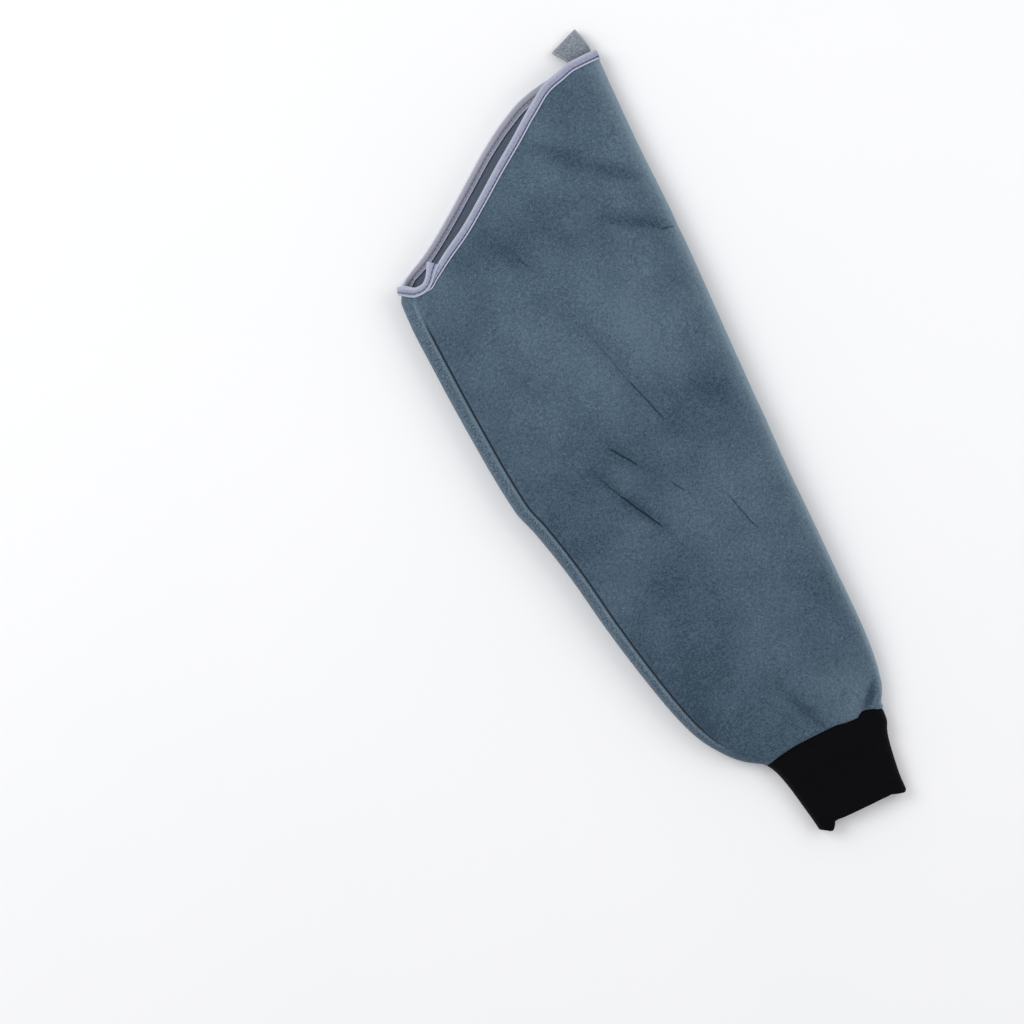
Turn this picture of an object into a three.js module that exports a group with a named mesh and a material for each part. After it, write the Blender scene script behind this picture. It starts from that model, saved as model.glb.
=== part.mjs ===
// A welding sleeve: a hollow suede tube for the forearm and upper arm, with a taped mouth, a small
// hanging loop and a knitted cuff. It lies flat with its front face up. Millimetres; +X runs from the
// sewn seam towards the folded outer edge, +Y from the cuff to the mouth, +Z up from the table.

import * as THREE from 'three';

// Leather tube, measured as it lies flat
const upperArmWidth = 200;
const wristWidth = 93.5;
const foldSideLength = 497;
const seamSideLength = 415;
const leatherThickness = 1.4;
const lieHeight = 28;
const crownHeight = 3;
const foldReach = 18;
const seamReach = 15;
const seamInset = 10;
const seamGrooveDepth = 1.1;
const seamGrooveWidth = 2.6;
const seamRidgeHeight = 0.5;

// The folded edges are widest at this share of the height.
const edgeLevel = 0.45;

// Knitted cuff
const cuffLength = 62;
const cuffTuck = 7;
const hemWidth = 67;
const hemHeight = 14;
const knitThickness = 2.6;

// Woven binding and its lapped end
const tapeThickness = 1;
const bindingWidth = 6.2;
const lapLength = 33;
const lapRise = 5.5;

// Hanging loop
const loopWidth = 20;
const loopLength = 24;
const loopThickness = 1.3;
const loopOpening = 2.4;
const loopDroop = 3.6;

// Clearance between two pieces that are sewn together
const joinGap = 0.3;

// Rows of facets between wrist and mouth, and columns on each stretch of the section
const leatherRows = 38;
const cuffRows = 8;
const frontColumns = 20;
const foldColumns = 6;
const backColumns = 10;

// The upper arm lies nearer the seam side: this share of its width is on that side of the cuff's axis.
const seamSideShare = 0.607;

// What the binding adds outside the leather, and inside it, and the straight stretch that it needs
const bindingStack = joinGap + tapeThickness;
const bandMargin = 1.5;
const straightBand = bindingWidth + bandMargin;

// Distances from the sewn edges over which the creases, and the relief of the seam, run out
const creaseFromWrist = { none: 5, full: 14 };
const creaseFromMouth = { none: 11, full: 26 };
const reliefFromWrist = { none: 4, full: 60 };
const reliefFromMouth = { none: 0, full: 14 };

// Steps over which the direction of a surface is measured
const turnStep = 0.004;
const yStep = 0.5;

// Outline of the leather from wrist (0) to mouth (1). `along` is a share of foldSideLength, the swells
// are shares of the way from the wrist's width to the upper arm's, and `height` is a share of lieHeight.
const leatherOutline = [
  { along: 0, seamSwell: 0, foldSwell: 0, height: 0.6 },
  { along: 0.016, seamSwell: 0.15, foldSwell: 0.15, height: 0.61 },
  { along: 0.036, seamSwell: 0.27, foldSwell: 0.25, height: 0.66 },
  { along: 0.076, seamSwell: 0.43, foldSwell: 0.36, height: 0.76 },
  { along: 0.117, seamSwell: 0.52, foldSwell: 0.42, height: 0.84 },
  { along: 0.197, seamSwell: 0.63, foldSwell: 0.475, height: 0.93 },
  { along: 0.278, seamSwell: 0.715, foldSwell: 0.535, height: 0.98 },
  { along: 0.358, seamSwell: 0.78, foldSwell: 0.585, height: 1 },
  { along: 0.439, seamSwell: 0.88, foldSwell: 0.675, height: 1 },
  { along: 0.479, seamSwell: 0.95, foldSwell: 0.71, height: 1 },
  { along: 0.559, seamSwell: 0.985, foldSwell: 0.79, height: 1 },
  { along: 0.68, seamSwell: 1, foldSwell: 0.92, height: 0.98 },
  { along: 0.76, seamSwell: 0.99, foldSwell: 0.985, height: 0.95 },
  { along: 0.84, seamSwell: 0.93, foldSwell: 1.015, height: 0.9 },
  { along: 0.92, seamSwell: 0.93, foldSwell: 1.08, height: 0.82 },
  { along: 1, seamSwell: 0.93, foldSwell: 1.155, height: 0.72 },
];

// The slanted mouth, from the seam edge (0) to the fold (1). Both lines are shares of the way from
// seamSideLength to foldSideLength: the back layer stands further out than the front one.
const mouthLine = [
  { across: 0, front: 0, back: 0 },
  { across: 0.03, front: -0.03, back: 0.03 },
  { across: 0.058, front: -0.058, back: 0.058 },
  { across: 0.1, front: -0.05, back: 0.1 },
  { across: 0.145, front: -0.01, back: 0.15 },
  { across: 0.2, front: 0.065, back: 0.22 },
  { across: 0.3, front: 0.195, back: 0.375 },
  { across: 0.4, front: 0.35, back: 0.545 },
  { across: 0.5, front: 0.51, back: 0.705 },
  { across: 0.6, front: 0.66, back: 0.84 },
  { across: 0.7, front: 0.815, back: 0.937 },
  { across: 0.79, front: 0.94, back: 0.972 },
  { across: 0.85, front: 0.975, back: 0.978 },
  { across: 0.9, front: 1.0, back: 0.985 },
  { across: 1, front: 1, back: 1 },
];

// The edge where leather meets cuff, off its mean place, as a share of cuffLength
const wristLine = [
  { across: 0, rise: -0.02 },
  { across: 0.3, rise: 0.02 },
  { across: 0.5, rise: 0.024 },
  { across: 0.75, rise: 0 },
  { across: 1, rise: -0.065 },
];

// Outline of the cuff from hem (0) to wrist (1): shares of cuffLength, and of the way from hem to wrist
const cuffOutline = [
  { along: 0, seamSwell: 0, foldSwell: 0, lift: 0 },
  { along: 0.16, seamSwell: 0.08, foldSwell: 0.06, lift: 0 },
  { along: 0.4, seamSwell: 0.25, foldSwell: 0.27, lift: 0 },
  { along: 0.6, seamSwell: 0.4, foldSwell: 0.5, lift: 0.05 },
  { along: 0.7, seamSwell: 0.5, foldSwell: 0.68, lift: 0.6 },
  { along: 0.8, seamSwell: 0.62, foldSwell: 0.93, lift: 1 },
  { along: 0.9, seamSwell: 0.8, foldSwell: 1, lift: 1 },
  { along: 0.97, seamSwell: 1, foldSwell: 1, lift: 1 },
];

// The hem's edge across the cuff, as a share of cuffLength, with the knit's tucked corner near the seam
const hemLine = [
  { across: 0, rise: 0.045 },
  { across: 0.05, rise: 0.015 },
  { across: 0.11, rise: -0.018 },
  { across: 0.15, rise: 0.01 },
  { across: 0.195, rise: 0.066 },
  { across: 0.3, rise: 0.055 },
  { across: 0.5, rise: 0.043 },
  { across: 0.8, rise: 0.03 },
  { across: 0.93, rise: -0.008 },
  { across: 0.985, rise: -0.02 },
  { across: 1, rise: -0.01 },
];

// Creases pressed into the front. Their ends are places across and along, and their width and depth
// are shares of lieHeight.
const creases = [
  { across: 0.64, along: 0.925, toAcross: 0.8, toAlong: 0.862, width: 0.24, depth: 0.12 },
  { across: 0.8, along: 0.862, toAcross: 0.94, toAlong: 0.813, width: 0.26, depth: 0.13 },
  { across: 0.776, along: 0.781, toAcross: 0.99, toAlong: 0.728, width: 0.22, depth: 0.15 },
  { across: 0.332, along: 0.85, toAcross: 0.47, toAlong: 0.767, width: 0.32, depth: 0.08 },
  { across: 0.409, along: 0.503, toAcross: 0.483, toAlong: 0.451, width: 0.24, depth: 0.07 },
  { across: 0.327, along: 0.478, toAcross: 0.436, toAlong: 0.36, width: 0.24, depth: 0.14 },
  { across: 0.513, along: 0.696, toAcross: 0.64, toAlong: 0.5, width: 0.34, depth: 0.06 },
  { across: 0.814, along: 0.519, toAcross: 0.97, toAlong: 0.467, width: 0.32, depth: 0.09 },
  { across: 0.5, along: 0.092, toAcross: 0.54, toAlong: 0.02, width: 0.2, depth: 0.08 },
  { across: 0.96, along: 0.033, toAcross: 0.84, toAlong: 0.012, width: 0.14, depth: 0.11 },
];

// The loop seen from above, from its root inside the mouth (0) to its folded end (1): the places of its
// two edges beside its centre line, as shares of loopWidth
const loopEdges = [
  { along: 0, seamEdge: -0.31, foldEdge: 0.31 },
  { along: 0.25, seamEdge: -0.29, foldEdge: 0.56 },
  { along: 0.42, seamEdge: -0.28, foldEdge: 0.62 },
  { along: 1, seamEdge: -0.44, foldEdge: 0.7 },
];
const loopTurn = 18;
const loopFromFold = 0.066;
const loopRootDepth = 6;
const loopSewnShare = 0.3;

function mix(from, to, share) {
  return from + (to - from) * share;
}

function smoothStep(value, from, to) {
  return THREE.MathUtils.smoothstep(value, from, to);
}

function fadeIn(distance, { none, full }) {
  return smoothStep(distance, none, full);
}

// Reads one column of a table at a place, along a curve that keeps to the rows and never overshoots.
function readTable(rows, key, column, place) {
  const last = rows.length - 1;
  const within = THREE.MathUtils.clamp(place, rows[0][key], rows[last][key]);
  const after = THREE.MathUtils.clamp(rows.findIndex((row) => row[key] > within), 1, last);
  const index = within >= rows[last][key] ? last : after;
  const slopeOf = (row) => {
    const rise = rows[row][column] - rows[row - 1][column];
    return rise / (rows[row][key] - rows[row - 1][key]);
  };
  const tangentAt = (row) => {
    if (row === 0) return slopeOf(1);
    if (row === last) return slopeOf(last);
    const before = slopeOf(row);
    const behind = slopeOf(row + 1);
    return before * behind <= 0 ? 0 : (2 * before * behind) / (before + behind);
  };
  const from = rows[index - 1];
  const to = rows[index];
  const span = to[key] - from[key];
  const share = (within - from[key]) / span;
  const squared = share * share;
  const cubed = squared * share;
  return from[column] * (2 * cubed - 3 * squared + 1)
    + to[column] * (3 * squared - 2 * cubed)
    + tangentAt(index - 1) * span * (cubed - 2 * squared + share)
    + tangentAt(index) * span * (cubed - squared);
}

// A place round the flattened tube. `turn` runs 0 to 1 over the front from seam to fold, to 2 round the
// fold, to 3 over the back, and to 4 round the seam edge.
function placeRound(turn) {
  const whole = ((turn % 4) + 4) % 4;
  const part = whole - Math.floor(whole);
  const angle = part * Math.PI;
  const seamShare = seamReach / upperArmWidth;
  const foldShare = foldReach / upperArmWidth;
  if (whole < 1) return { across: mix(seamShare, 1 - foldShare, part), level: 1 };
  if (whole < 2) return { across: 1 - foldShare * (1 - Math.sin(angle)), level: Math.cos(angle) };
  if (whole < 3) return { across: mix(1 - foldShare, seamShare, part), level: -1 };
  return { across: seamShare * (1 - Math.sin(angle)), level: -Math.cos(angle) };
}

// The turn at a distance in from the seam edge, on the front half of the rounding there
function turnFromSeam(inset) {
  return 4 - Math.asin(1 - inset / seamReach) / Math.PI;
}

// The seam's groove, between its raised ridge and the open front
const grooveTurn = turnFromSeam(seamInset);
const ridgeTurn = turnFromSeam(seamInset - seamGrooveWidth / 2);
const shoulderTurn = turnFromSeam(seamInset + seamGrooveWidth / 2);

// The columns of facets round the tube: equal steps on each stretch, and three close ones at the groove
function listTurns() {
  const columns = [frontColumns, foldColumns, backColumns, foldColumns];
  const closest = 0.03;
  const stepsOf = (count, stretch) => Array.from({ length: count }, (_, i) => stretch + i / count);
  const clear = columns.flatMap(stepsOf).filter((turn) => turn < ridgeTurn - closest);
  return [...clear, ridgeTurn, grooveTurn, shoulderTurn];
}
const turns = listTurns();

// Edges of the leather along Y
function mouthY({ across, level }) {
  const front = readTable(mouthLine, 'across', 'front', across);
  const back = readTable(mouthLine, 'across', 'back', across);
  return cuffLength + mix(seamSideLength, foldSideLength, mix(back, front, (level + 1) / 2));
}

function wristY({ across }) {
  return cuffLength * (1 + readTable(wristLine, 'across', 'rise', across));
}

// How much longer the slanted mouth makes a width measured along Y
function mouthStretch(place) {
  const step = 0.01;
  const before = mouthY({ across: Math.max(place.across - step, 0), level: place.level });
  const after = mouthY({ across: Math.min(place.across + step, 1), level: place.level });
  return Math.hypot(1, (after - before) / (2 * step * upperArmWidth));
}

function leatherEdges(y) {
  const along = (y - cuffLength) / foldSideLength;
  const wristHalf = wristWidth / 2;
  const seamSpan = upperArmWidth * seamSideShare - wristHalf;
  const foldSpan = upperArmWidth * (1 - seamSideShare) - wristHalf;
  return {
    seam: -wristHalf - seamSpan * readTable(leatherOutline, 'along', 'seamSwell', along),
    fold: wristHalf + foldSpan * readTable(leatherOutline, 'along', 'foldSwell', along),
    height: lieHeight * readTable(leatherOutline, 'along', 'height', along),
  };
}

// How deep the creases press the front at a place; they stop short of the sewn edges.
function creaseDepth(across, along, wristGap, mouthGap) {
  const here = new THREE.Vector3(across * upperArmWidth, along * foldSideLength, 0);
  let depth = 0;
  for (const crease of creases) {
    const start = new THREE.Vector3(crease.across * upperArmWidth, crease.along * foldSideLength, 0);
    const end = new THREE.Vector3(crease.toAcross * upperArmWidth, crease.toAlong * foldSideLength, 0);
    const nearest = new THREE.Line3(start, end).closestPointToPoint(here, true, new THREE.Vector3());
    const reach = nearest.distanceTo(here) / (crease.width * lieHeight);
    depth = Math.max(depth, crease.depth * lieHeight * Math.exp(-reach * reach));
  }
  return depth * fadeIn(wristGap, creaseFromWrist) * fadeIn(mouthGap, creaseFromMouth);
}

// A point on the outside of the leather. Under the binding the tube is raised by the tape below it.
function leatherPoint(turn, y) {
  const place = placeRound(turn);
  const { across, level } = place;
  const edges = leatherEdges(y);
  const mouthGap = mouthY(place) - y;
  const along = (y - cuffLength) / foldSideLength;
  const base = bindingStack * (1 - fadeIn(mouthGap, creaseFromMouth));
  const middle = base + edges.height * edgeLevel;
  const crown = crownHeight * Math.sin(Math.PI * across) * (edges.fold - edges.seam) / upperArmWidth;
  const top = edges.height + crown - creaseDepth(across, along, y - wristY(place), mouthGap);
  const z = level > 0 ? mix(middle, top, level) : mix(middle, base, -level);
  return new THREE.Vector3(mix(edges.seam, edges.fold, across), y, z);
}

// A point on a surface with its outward direction, and the direction that runs towards the mouth
function frameAt(pointAt, turn, y) {
  const around = pointAt(turn + turnStep, y).sub(pointAt(turn - turnStep, y));
  const run = pointAt(turn, y + yStep).sub(pointAt(turn, y - yStep)).normalize();
  const normal = around.cross(run).normalize();
  return { point: pointAt(turn, y), normal, run };
}

// A point lifted off a frame by `out`, and moved by `on` towards the mouth
function offFrame(frame, out, on = 0) {
  return frame.point.clone().addScaledVector(frame.normal, out).addScaledVector(frame.run, on);
}

function makeGeometry(profiles, faces) {
  const positions = profiles.flatMap((profile) => profile.flatMap((point) => point.toArray()));
  const geometry = new THREE.BufferGeometry();
  geometry.setAttribute('position', new THREE.Float32BufferAttribute(positions, 3));
  geometry.setIndex(faces);
  geometry.computeVertexNormals();
  return geometry;
}

// Faces between each profile and the next one, where every profile is a closed outline
function joinProfiles(profileCount, size, bandCount) {
  const faces = [];
  for (let i = 0; i < bandCount; i += 1) {
    const here = i * size;
    const next = ((i + 1) % profileCount) * size;
    for (let j = 0; j < size; j += 1) {
      const after = (j + 1) % size;
      faces.push(here + j, next + j, next + after);
      faces.push(here + j, next + after, here + after);
    }
  }
  return faces;
}

// A tube wall: one closed outline at each turn, joined all the way round
function tubeGeometry(profiles) {
  const count = profiles.length;
  return makeGeometry(profiles, joinProfiles(count, profiles[0].length, count));
}

// A strip: convex outlines joined from the first to the last, with both ends closed
function stripGeometry(profiles) {
  const size = profiles[0].length;
  const last = (profiles.length - 1) * size;
  const faces = joinProfiles(profiles.length, size, profiles.length - 1);
  for (let j = 1; j < size - 1; j += 1) {
    faces.push(0, j, j + 1);
    faces.push(last, last + j + 1, last + j);
  }
  return makeGeometry(profiles, faces);
}

function makePiece(name, geometry, color, roughness) {
  const material = new THREE.MeshStandardMaterial({ color, roughness, metalness: 0 });
  const piece = new THREE.Mesh(geometry, material);
  piece.name = name;
  return piece;
}

// The last straight stretch of leather below the mouth, which the tape covers
function bandFrames(turn) {
  const place = placeRound(turn);
  const end = mouthY(place);
  const start = end - straightBand * mouthStretch(place);
  return { start: frameAt(leatherPoint, turn, start), end: frameAt(leatherPoint, turn, end) };
}

// The panel: an outer wall from wrist to mouth and back down inside it, at one leather thickness
function makeLeather() {
  const firstRowEase = 1.15;
  const profiles = turns.map((turn) => {
    const place = placeRound(turn);
    const band = bandFrames(turn);
    const wrist = wristY(place);
    const outer = [];
    const inner = [];
    for (let i = 0; i < leatherRows; i += 1) {
      const y = mix(wrist, band.start.point.y, (i / leatherRows) ** firstRowEase);
      const frame = frameAt(leatherPoint, turn, y);
      const fade = fadeIn(y - wrist, reliefFromWrist) * fadeIn(band.start.point.y - y, reliefFromMouth);
      const groove = turn === grooveTurn ? seamGrooveDepth * fade : 0;
      const ridge = turn === ridgeTurn ? seamRidgeHeight * fade : 0;
      outer.push(offFrame(frame, ridge - groove));
      inner.push(offFrame(frame, ridge - groove - leatherThickness));
    }
    outer.push(offFrame(band.start, 0), offFrame(band.end, 0));
    inner.push(offFrame(band.start, -leatherThickness), offFrame(band.end, -leatherThickness));
    return [...outer, ...inner.reverse()];
  });
  return makePiece('leather_sleeve', tubeGeometry(profiles), 0x536777, 0.95);
}

// A place on the straight band, `down` millimetres below the mouth, square to the slanted edge
function onBand(band, down, out) {
  const share = 1 - down / straightBand;
  return offFrame(band.start, out).lerp(offFrame(band.end, out), share);
}

// The tape, folded over the cut edge with one leg outside the leather and one inside
function makeBinding() {
  const inside = -leatherThickness - bindingStack;
  const bevel = tapeThickness * 0.4;
  const profiles = turns.map((turn) => {
    const band = bandFrames(turn);
    const stretch = mouthStretch(placeRound(turn));
    const overEdge = (on, out) => offFrame(band.end, out, on * stretch);
    return [
      onBand(band, bindingWidth, bindingStack),
      onBand(band, 0, bindingStack),
      overEdge(bindingStack - bevel, bindingStack - bevel / 2),
      overEdge(bindingStack, joinGap),
      overEdge(bindingStack, -leatherThickness - joinGap),
      overEdge(bindingStack - bevel, inside + bevel / 2),
      onBand(band, 0, inside),
      onBand(band, bindingWidth, inside),
      onBand(band, bindingWidth, -leatherThickness - joinGap),
      overEdge(joinGap, -leatherThickness - joinGap),
      overEdge(joinGap, joinGap),
      onBand(band, bindingWidth, joinGap),
    ];
  });
  return makePiece('mouth_binding', tubeGeometry(profiles), 0xa3a1bf, 0.85);
}

// The tape's end: it comes round the seam edge on top of the start and rises towards the mouth, where
// it is cut square.
function makeLap() {
  const frontWidth = upperArmWidth - seamReach - foldReach;
  const lowEnd = (lapLength - seamReach) / frontWidth;
  const highEnd = (lapLength - seamReach - lapRise) / frontWidth;
  const lapStart = 3.5;
  const seamTurns = turns.filter((turn) => turn >= lapStart);
  const steps = 6;
  const profiles = [];
  const addProfile = (lowTurn, highTurn, rise) => {
    const low = bandFrames(lowTurn);
    const high = bandFrames(highTurn);
    const inner = bindingStack + joinGap;
    const outer = inner + tapeThickness;
    profiles.push([
      onBand(low, bindingWidth - rise, outer),
      onBand(high, -bindingStack - rise, outer),
      onBand(high, -bindingStack - rise, inner),
      onBand(low, bindingWidth - rise, inner),
    ]);
  };
  seamTurns.forEach((turn) => addProfile(turn, turn, 0));
  for (let i = 0; i <= steps; i += 1) {
    const share = i / steps;
    addProfile(lowEnd * share, highEnd * share, lapRise * smoothStep(share, 0, 1));
  }
  return makePiece('binding_lap', stripGeometry(profiles), 0xa3a1bf, 0.85);
}

// A point on the outside of the cuff. It goes from the hem's section to the wrist opening's, which it
// fits from inside with the joining clearance.
function cuffPoint(turn, y) {
  const { across, level } = placeRound(turn);
  const along = y / cuffLength;
  const seamSwell = readTable(cuffOutline, 'along', 'seamSwell', along);
  const foldSwell = readTable(cuffOutline, 'along', 'foldSwell', along);
  const lift = readTable(cuffOutline, 'along', 'lift', along);
  const opening = leatherPoint(turn, wristY({ across: 1 }));
  const before = leatherPoint(turn - turnStep, opening.y);
  const around = leatherPoint(turn + turnStep, opening.y).sub(before).normalize();
  const inset = leatherThickness + joinGap;
  const wristX = opening.x + inset * around.z;
  const wristZ = opening.z - inset * around.x;
  const hemX = (across - 0.5) * hemWidth;
  const hemZ = hemHeight * (level + 1) / 2;
  const swell = mix(seamSwell, foldSwell, across);
  return new THREE.Vector3(mix(hemX, wristX, swell), y, mix(hemZ, wristZ, lift));
}

// The double knit: an outer wall up from the hem, an inner wall back down, and a round hem edge
function makeCuff() {
  const hemRadius = knitThickness / 2;
  const hemSteps = 4;
  const profiles = turns.map((turn) => {
    const place = placeRound(turn);
    const hem = cuffLength * readTable(hemLine, 'across', 'rise', place.across) + hemRadius;
    const outer = [];
    const inner = [];
    for (let i = 0; i <= cuffRows; i += 1) {
      const frame = frameAt(cuffPoint, turn, mix(hem, cuffLength + cuffTuck, i / cuffRows));
      outer.push(offFrame(frame, 0));
      inner.push(offFrame(frame, -knitThickness));
    }
    const hemFrame = frameAt(cuffPoint, turn, hem);
    const edge = [];
    for (let i = 1; i < hemSteps; i += 1) {
      const angle = (i / hemSteps) * Math.PI;
      edge.push(offFrame(hemFrame, -hemRadius * (1 + Math.cos(angle)), -hemRadius * Math.sin(angle)));
    }
    return [...outer, ...inner.reverse(), ...edge];
  });
  return makePiece('knit_cuff', tubeGeometry(profiles), 0x121018, 0.95);
}

// The height inside the mouth, beside the fold, that the loop lies on
function loopSeat(x, y) {
  const edge = mouthY({ across: 1, level: 0 });
  const edges = leatherEdges(edge);
  const stack = leatherThickness + bindingStack + 2 * joinGap;
  const middle = bindingStack + edges.height * edgeLevel;
  const reach = (edges.fold - edges.seam) * foldReach / upperArmWidth - stack;
  const steepest = 0.97;
  const share = THREE.MathUtils.clamp((x - edges.fold + stack + reach) / reach, 0, steepest);
  const seat = middle - (middle - bindingStack - stack) * Math.sqrt(1 - share * share);
  const past = smoothStep(y - edge, bindingStack + tapeThickness, loopLength);
  return seat - Math.min(loopDroop, seat - joinGap) * past;
}

// The loop's folded strip from the side. Its two ends are sewn together at the root, and a narrow gap
// runs through it from there to the bend.
function loopSide() {
  const half = loopThickness + loopOpening / 2;
  const bend = loopLength - half;
  const seamEnd = loopLength * loopSewnShare;
  const steps = 5;
  const places = Array.from({ length: steps + 1 }, (_, i) => mix(seamEnd, bend, i / steps));
  const openingAt = (place) => loopOpening * (place - seamEnd) / (bend - seamEnd);
  const side = new THREE.Shape();
  side.moveTo(0, 0);
  places.forEach((place) => side.lineTo(place, 0));
  side.absarc(bend, half, half, -Math.PI / 2, Math.PI / 2, false);
  places.slice(0, -1).reverse().forEach((place) => side.lineTo(place, 2 * loopThickness + openingAt(place)));
  side.lineTo(0, 2 * loopThickness);
  side.closePath();
  const gap = new THREE.Path();
  gap.moveTo(seamEnd, loopThickness);
  places.slice(1).forEach((place) => gap.lineTo(place, loopThickness + openingAt(place)));
  gap.absarc(bend, half, loopOpening / 2, Math.PI / 2, -Math.PI / 2, true);
  places.slice(1, -1).reverse().forEach((place) => gap.lineTo(place, loopThickness));
  gap.closePath();
  side.holes.push(gap);
  return side;
}

// The strip is made across its width, then laid on its seat inside the mouth, where it droops outside.
function makeLoop() {
  const geometry = new THREE.ExtrudeGeometry(loopSide(), {
    depth: 1, steps: 4, curveSegments: 3, bevelEnabled: false,
  });
  const edge = mouthY({ across: 1, level: 0 });
  const direction = new THREE.Vector2(0, 1).rotateAround(new THREE.Vector2(), loopTurn * Math.PI / 180);
  const side = new THREE.Vector2(direction.y, -direction.x);
  const rootX = leatherEdges(edge).fold - loopFromFold * upperArmWidth;
  const root = new THREE.Vector2(rootX, edge - loopRootDepth);
  const positions = geometry.getAttribute('position');
  for (let i = 0; i < positions.count; i += 1) {
    const along = positions.getX(i) / loopLength;
    const seamEdge = readTable(loopEdges, 'along', 'seamEdge', along);
    const foldEdge = readTable(loopEdges, 'along', 'foldEdge', along);
    const beside = loopWidth * mix(seamEdge, foldEdge, positions.getZ(i));
    const spot = root.clone().addScaledVector(direction, positions.getX(i)).addScaledVector(side, beside);
    positions.setXYZ(i, spot.x, spot.y, loopSeat(spot.x, spot.y) + positions.getY(i));
  }
  return makePiece('hang_loop', geometry, 0x7d878c, 0.9);
}

// The whole sleeve stands on z = 0 with the origin under the middle of its outline.
const garment = new THREE.Group();
garment.add(makeLeather(), makeBinding(), makeLap(), makeLoop(), makeCuff());
const extent = new THREE.Box3().setFromObject(garment);
const centre = extent.getCenter(new THREE.Vector3());
garment.position.set(-centre.x, -centre.y, -extent.min.z);

export default garment;
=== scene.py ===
"""A welding sleeve of split cowhide, lying flat with its front up: the leather tube, its taped mouth
with a lapped end, the hanging loop and the rib-knit cuff. Metres, +Z up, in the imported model's frame."""
import math

import bpy
import numpy as np
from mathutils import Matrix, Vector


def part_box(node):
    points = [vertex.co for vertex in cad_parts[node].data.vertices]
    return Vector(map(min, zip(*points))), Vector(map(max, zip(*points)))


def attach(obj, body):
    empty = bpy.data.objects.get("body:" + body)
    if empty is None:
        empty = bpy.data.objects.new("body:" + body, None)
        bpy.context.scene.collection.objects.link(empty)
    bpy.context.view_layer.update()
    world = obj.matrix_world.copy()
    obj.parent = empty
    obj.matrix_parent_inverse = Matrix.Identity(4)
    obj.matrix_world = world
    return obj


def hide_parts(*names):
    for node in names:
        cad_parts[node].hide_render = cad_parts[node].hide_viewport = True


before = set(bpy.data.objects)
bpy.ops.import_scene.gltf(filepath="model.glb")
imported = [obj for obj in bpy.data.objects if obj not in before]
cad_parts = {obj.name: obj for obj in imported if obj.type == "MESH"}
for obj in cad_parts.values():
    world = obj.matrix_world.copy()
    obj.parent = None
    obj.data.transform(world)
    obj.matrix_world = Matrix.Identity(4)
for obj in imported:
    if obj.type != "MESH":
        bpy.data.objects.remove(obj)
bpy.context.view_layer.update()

# Camera
# The sleeve is looked at from straight above. It lies turned on the table, with its cuff to the lower
# right, so the camera is turned the other way.
view_width = 0.7168
view_centre = (-0.1013, 0.0119)
view_turn = math.radians(-28)
camera_height = 2.4
sleeve_level = 0.013
sensor_width = 36

camera_data = bpy.data.cameras.new("camera")
camera_data.sensor_width = sensor_width
camera_data.lens = sensor_width * (camera_height - sleeve_level) / view_width
camera = bpy.data.objects.new("camera", camera_data)
camera.location = (*view_centre, camera_height)
camera.rotation_euler = (0, 0, view_turn)
bpy.context.collection.objects.link(camera)
bpy.context.scene.camera = camera
bpy.context.scene.view_settings.view_transform = "Standard"


# Light
# A large soft lamp hangs past the mouth on the seam's side, a weaker one past the fold, and a white
# room lights the rest, as in a light tent.
room_light = 0.62
lamps = {
    "key": {"place": (-1.1, 1.3, 1.9), "side": 1.5, "power": 26},
    "fill": {"place": (1.3, -0.2, 1.5), "side": 1.2, "power": 9},
}

world = bpy.data.worlds.new("room")
world.use_nodes = True
world.node_tree.nodes["Background"].inputs["Color"].default_value = (1, 1, 1, 1)
world.node_tree.nodes["Background"].inputs["Strength"].default_value = room_light
bpy.context.scene.world = world
for lamp_name, lamp in lamps.items():
    lamp_data = bpy.data.lights.new(lamp_name, "AREA")
    lamp_data.size = lamp["side"]
    lamp_data.energy = lamp["power"]
    lamp_object = bpy.data.objects.new(lamp_name, lamp_data)
    lamp_object.location = lamp["place"]
    lamp_object.rotation_euler = (-lamp_object.location).to_track_quat("-Z", "Y").to_euler()
    bpy.context.collection.objects.link(lamp_object)


# Floor
# A plain pale table top, seen all round the sleeve. It isn't part of the object, so it is staged.
floor_side = 8
floor_drop = 0.0002
floor_mottle_size = 0.25
floor_roughness = 0.7
floor_colours = {"shade": (243, 244, 246), "main": (247, 247, 249)}


def paint(red, green, blue):
    """A colour as the eye reads it off a screen, 0 to 255, in the linear values that shaders take."""
    shares = [part / 255 for part in (red, green, blue)]
    return (*(s / 12.92 if s <= 0.04045 else ((s + 0.055) / 1.055) ** 2.4 for s in shares), 1)


def find_socket(sockets, key):
    """The socket at an index, or the one whose identifier or name is the key."""
    if isinstance(key, int):
        return sockets[key]
    by_identifier = [s for s in sockets if s.identifier == key]
    return by_identifier[0] if by_identifier else sockets[key]


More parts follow.
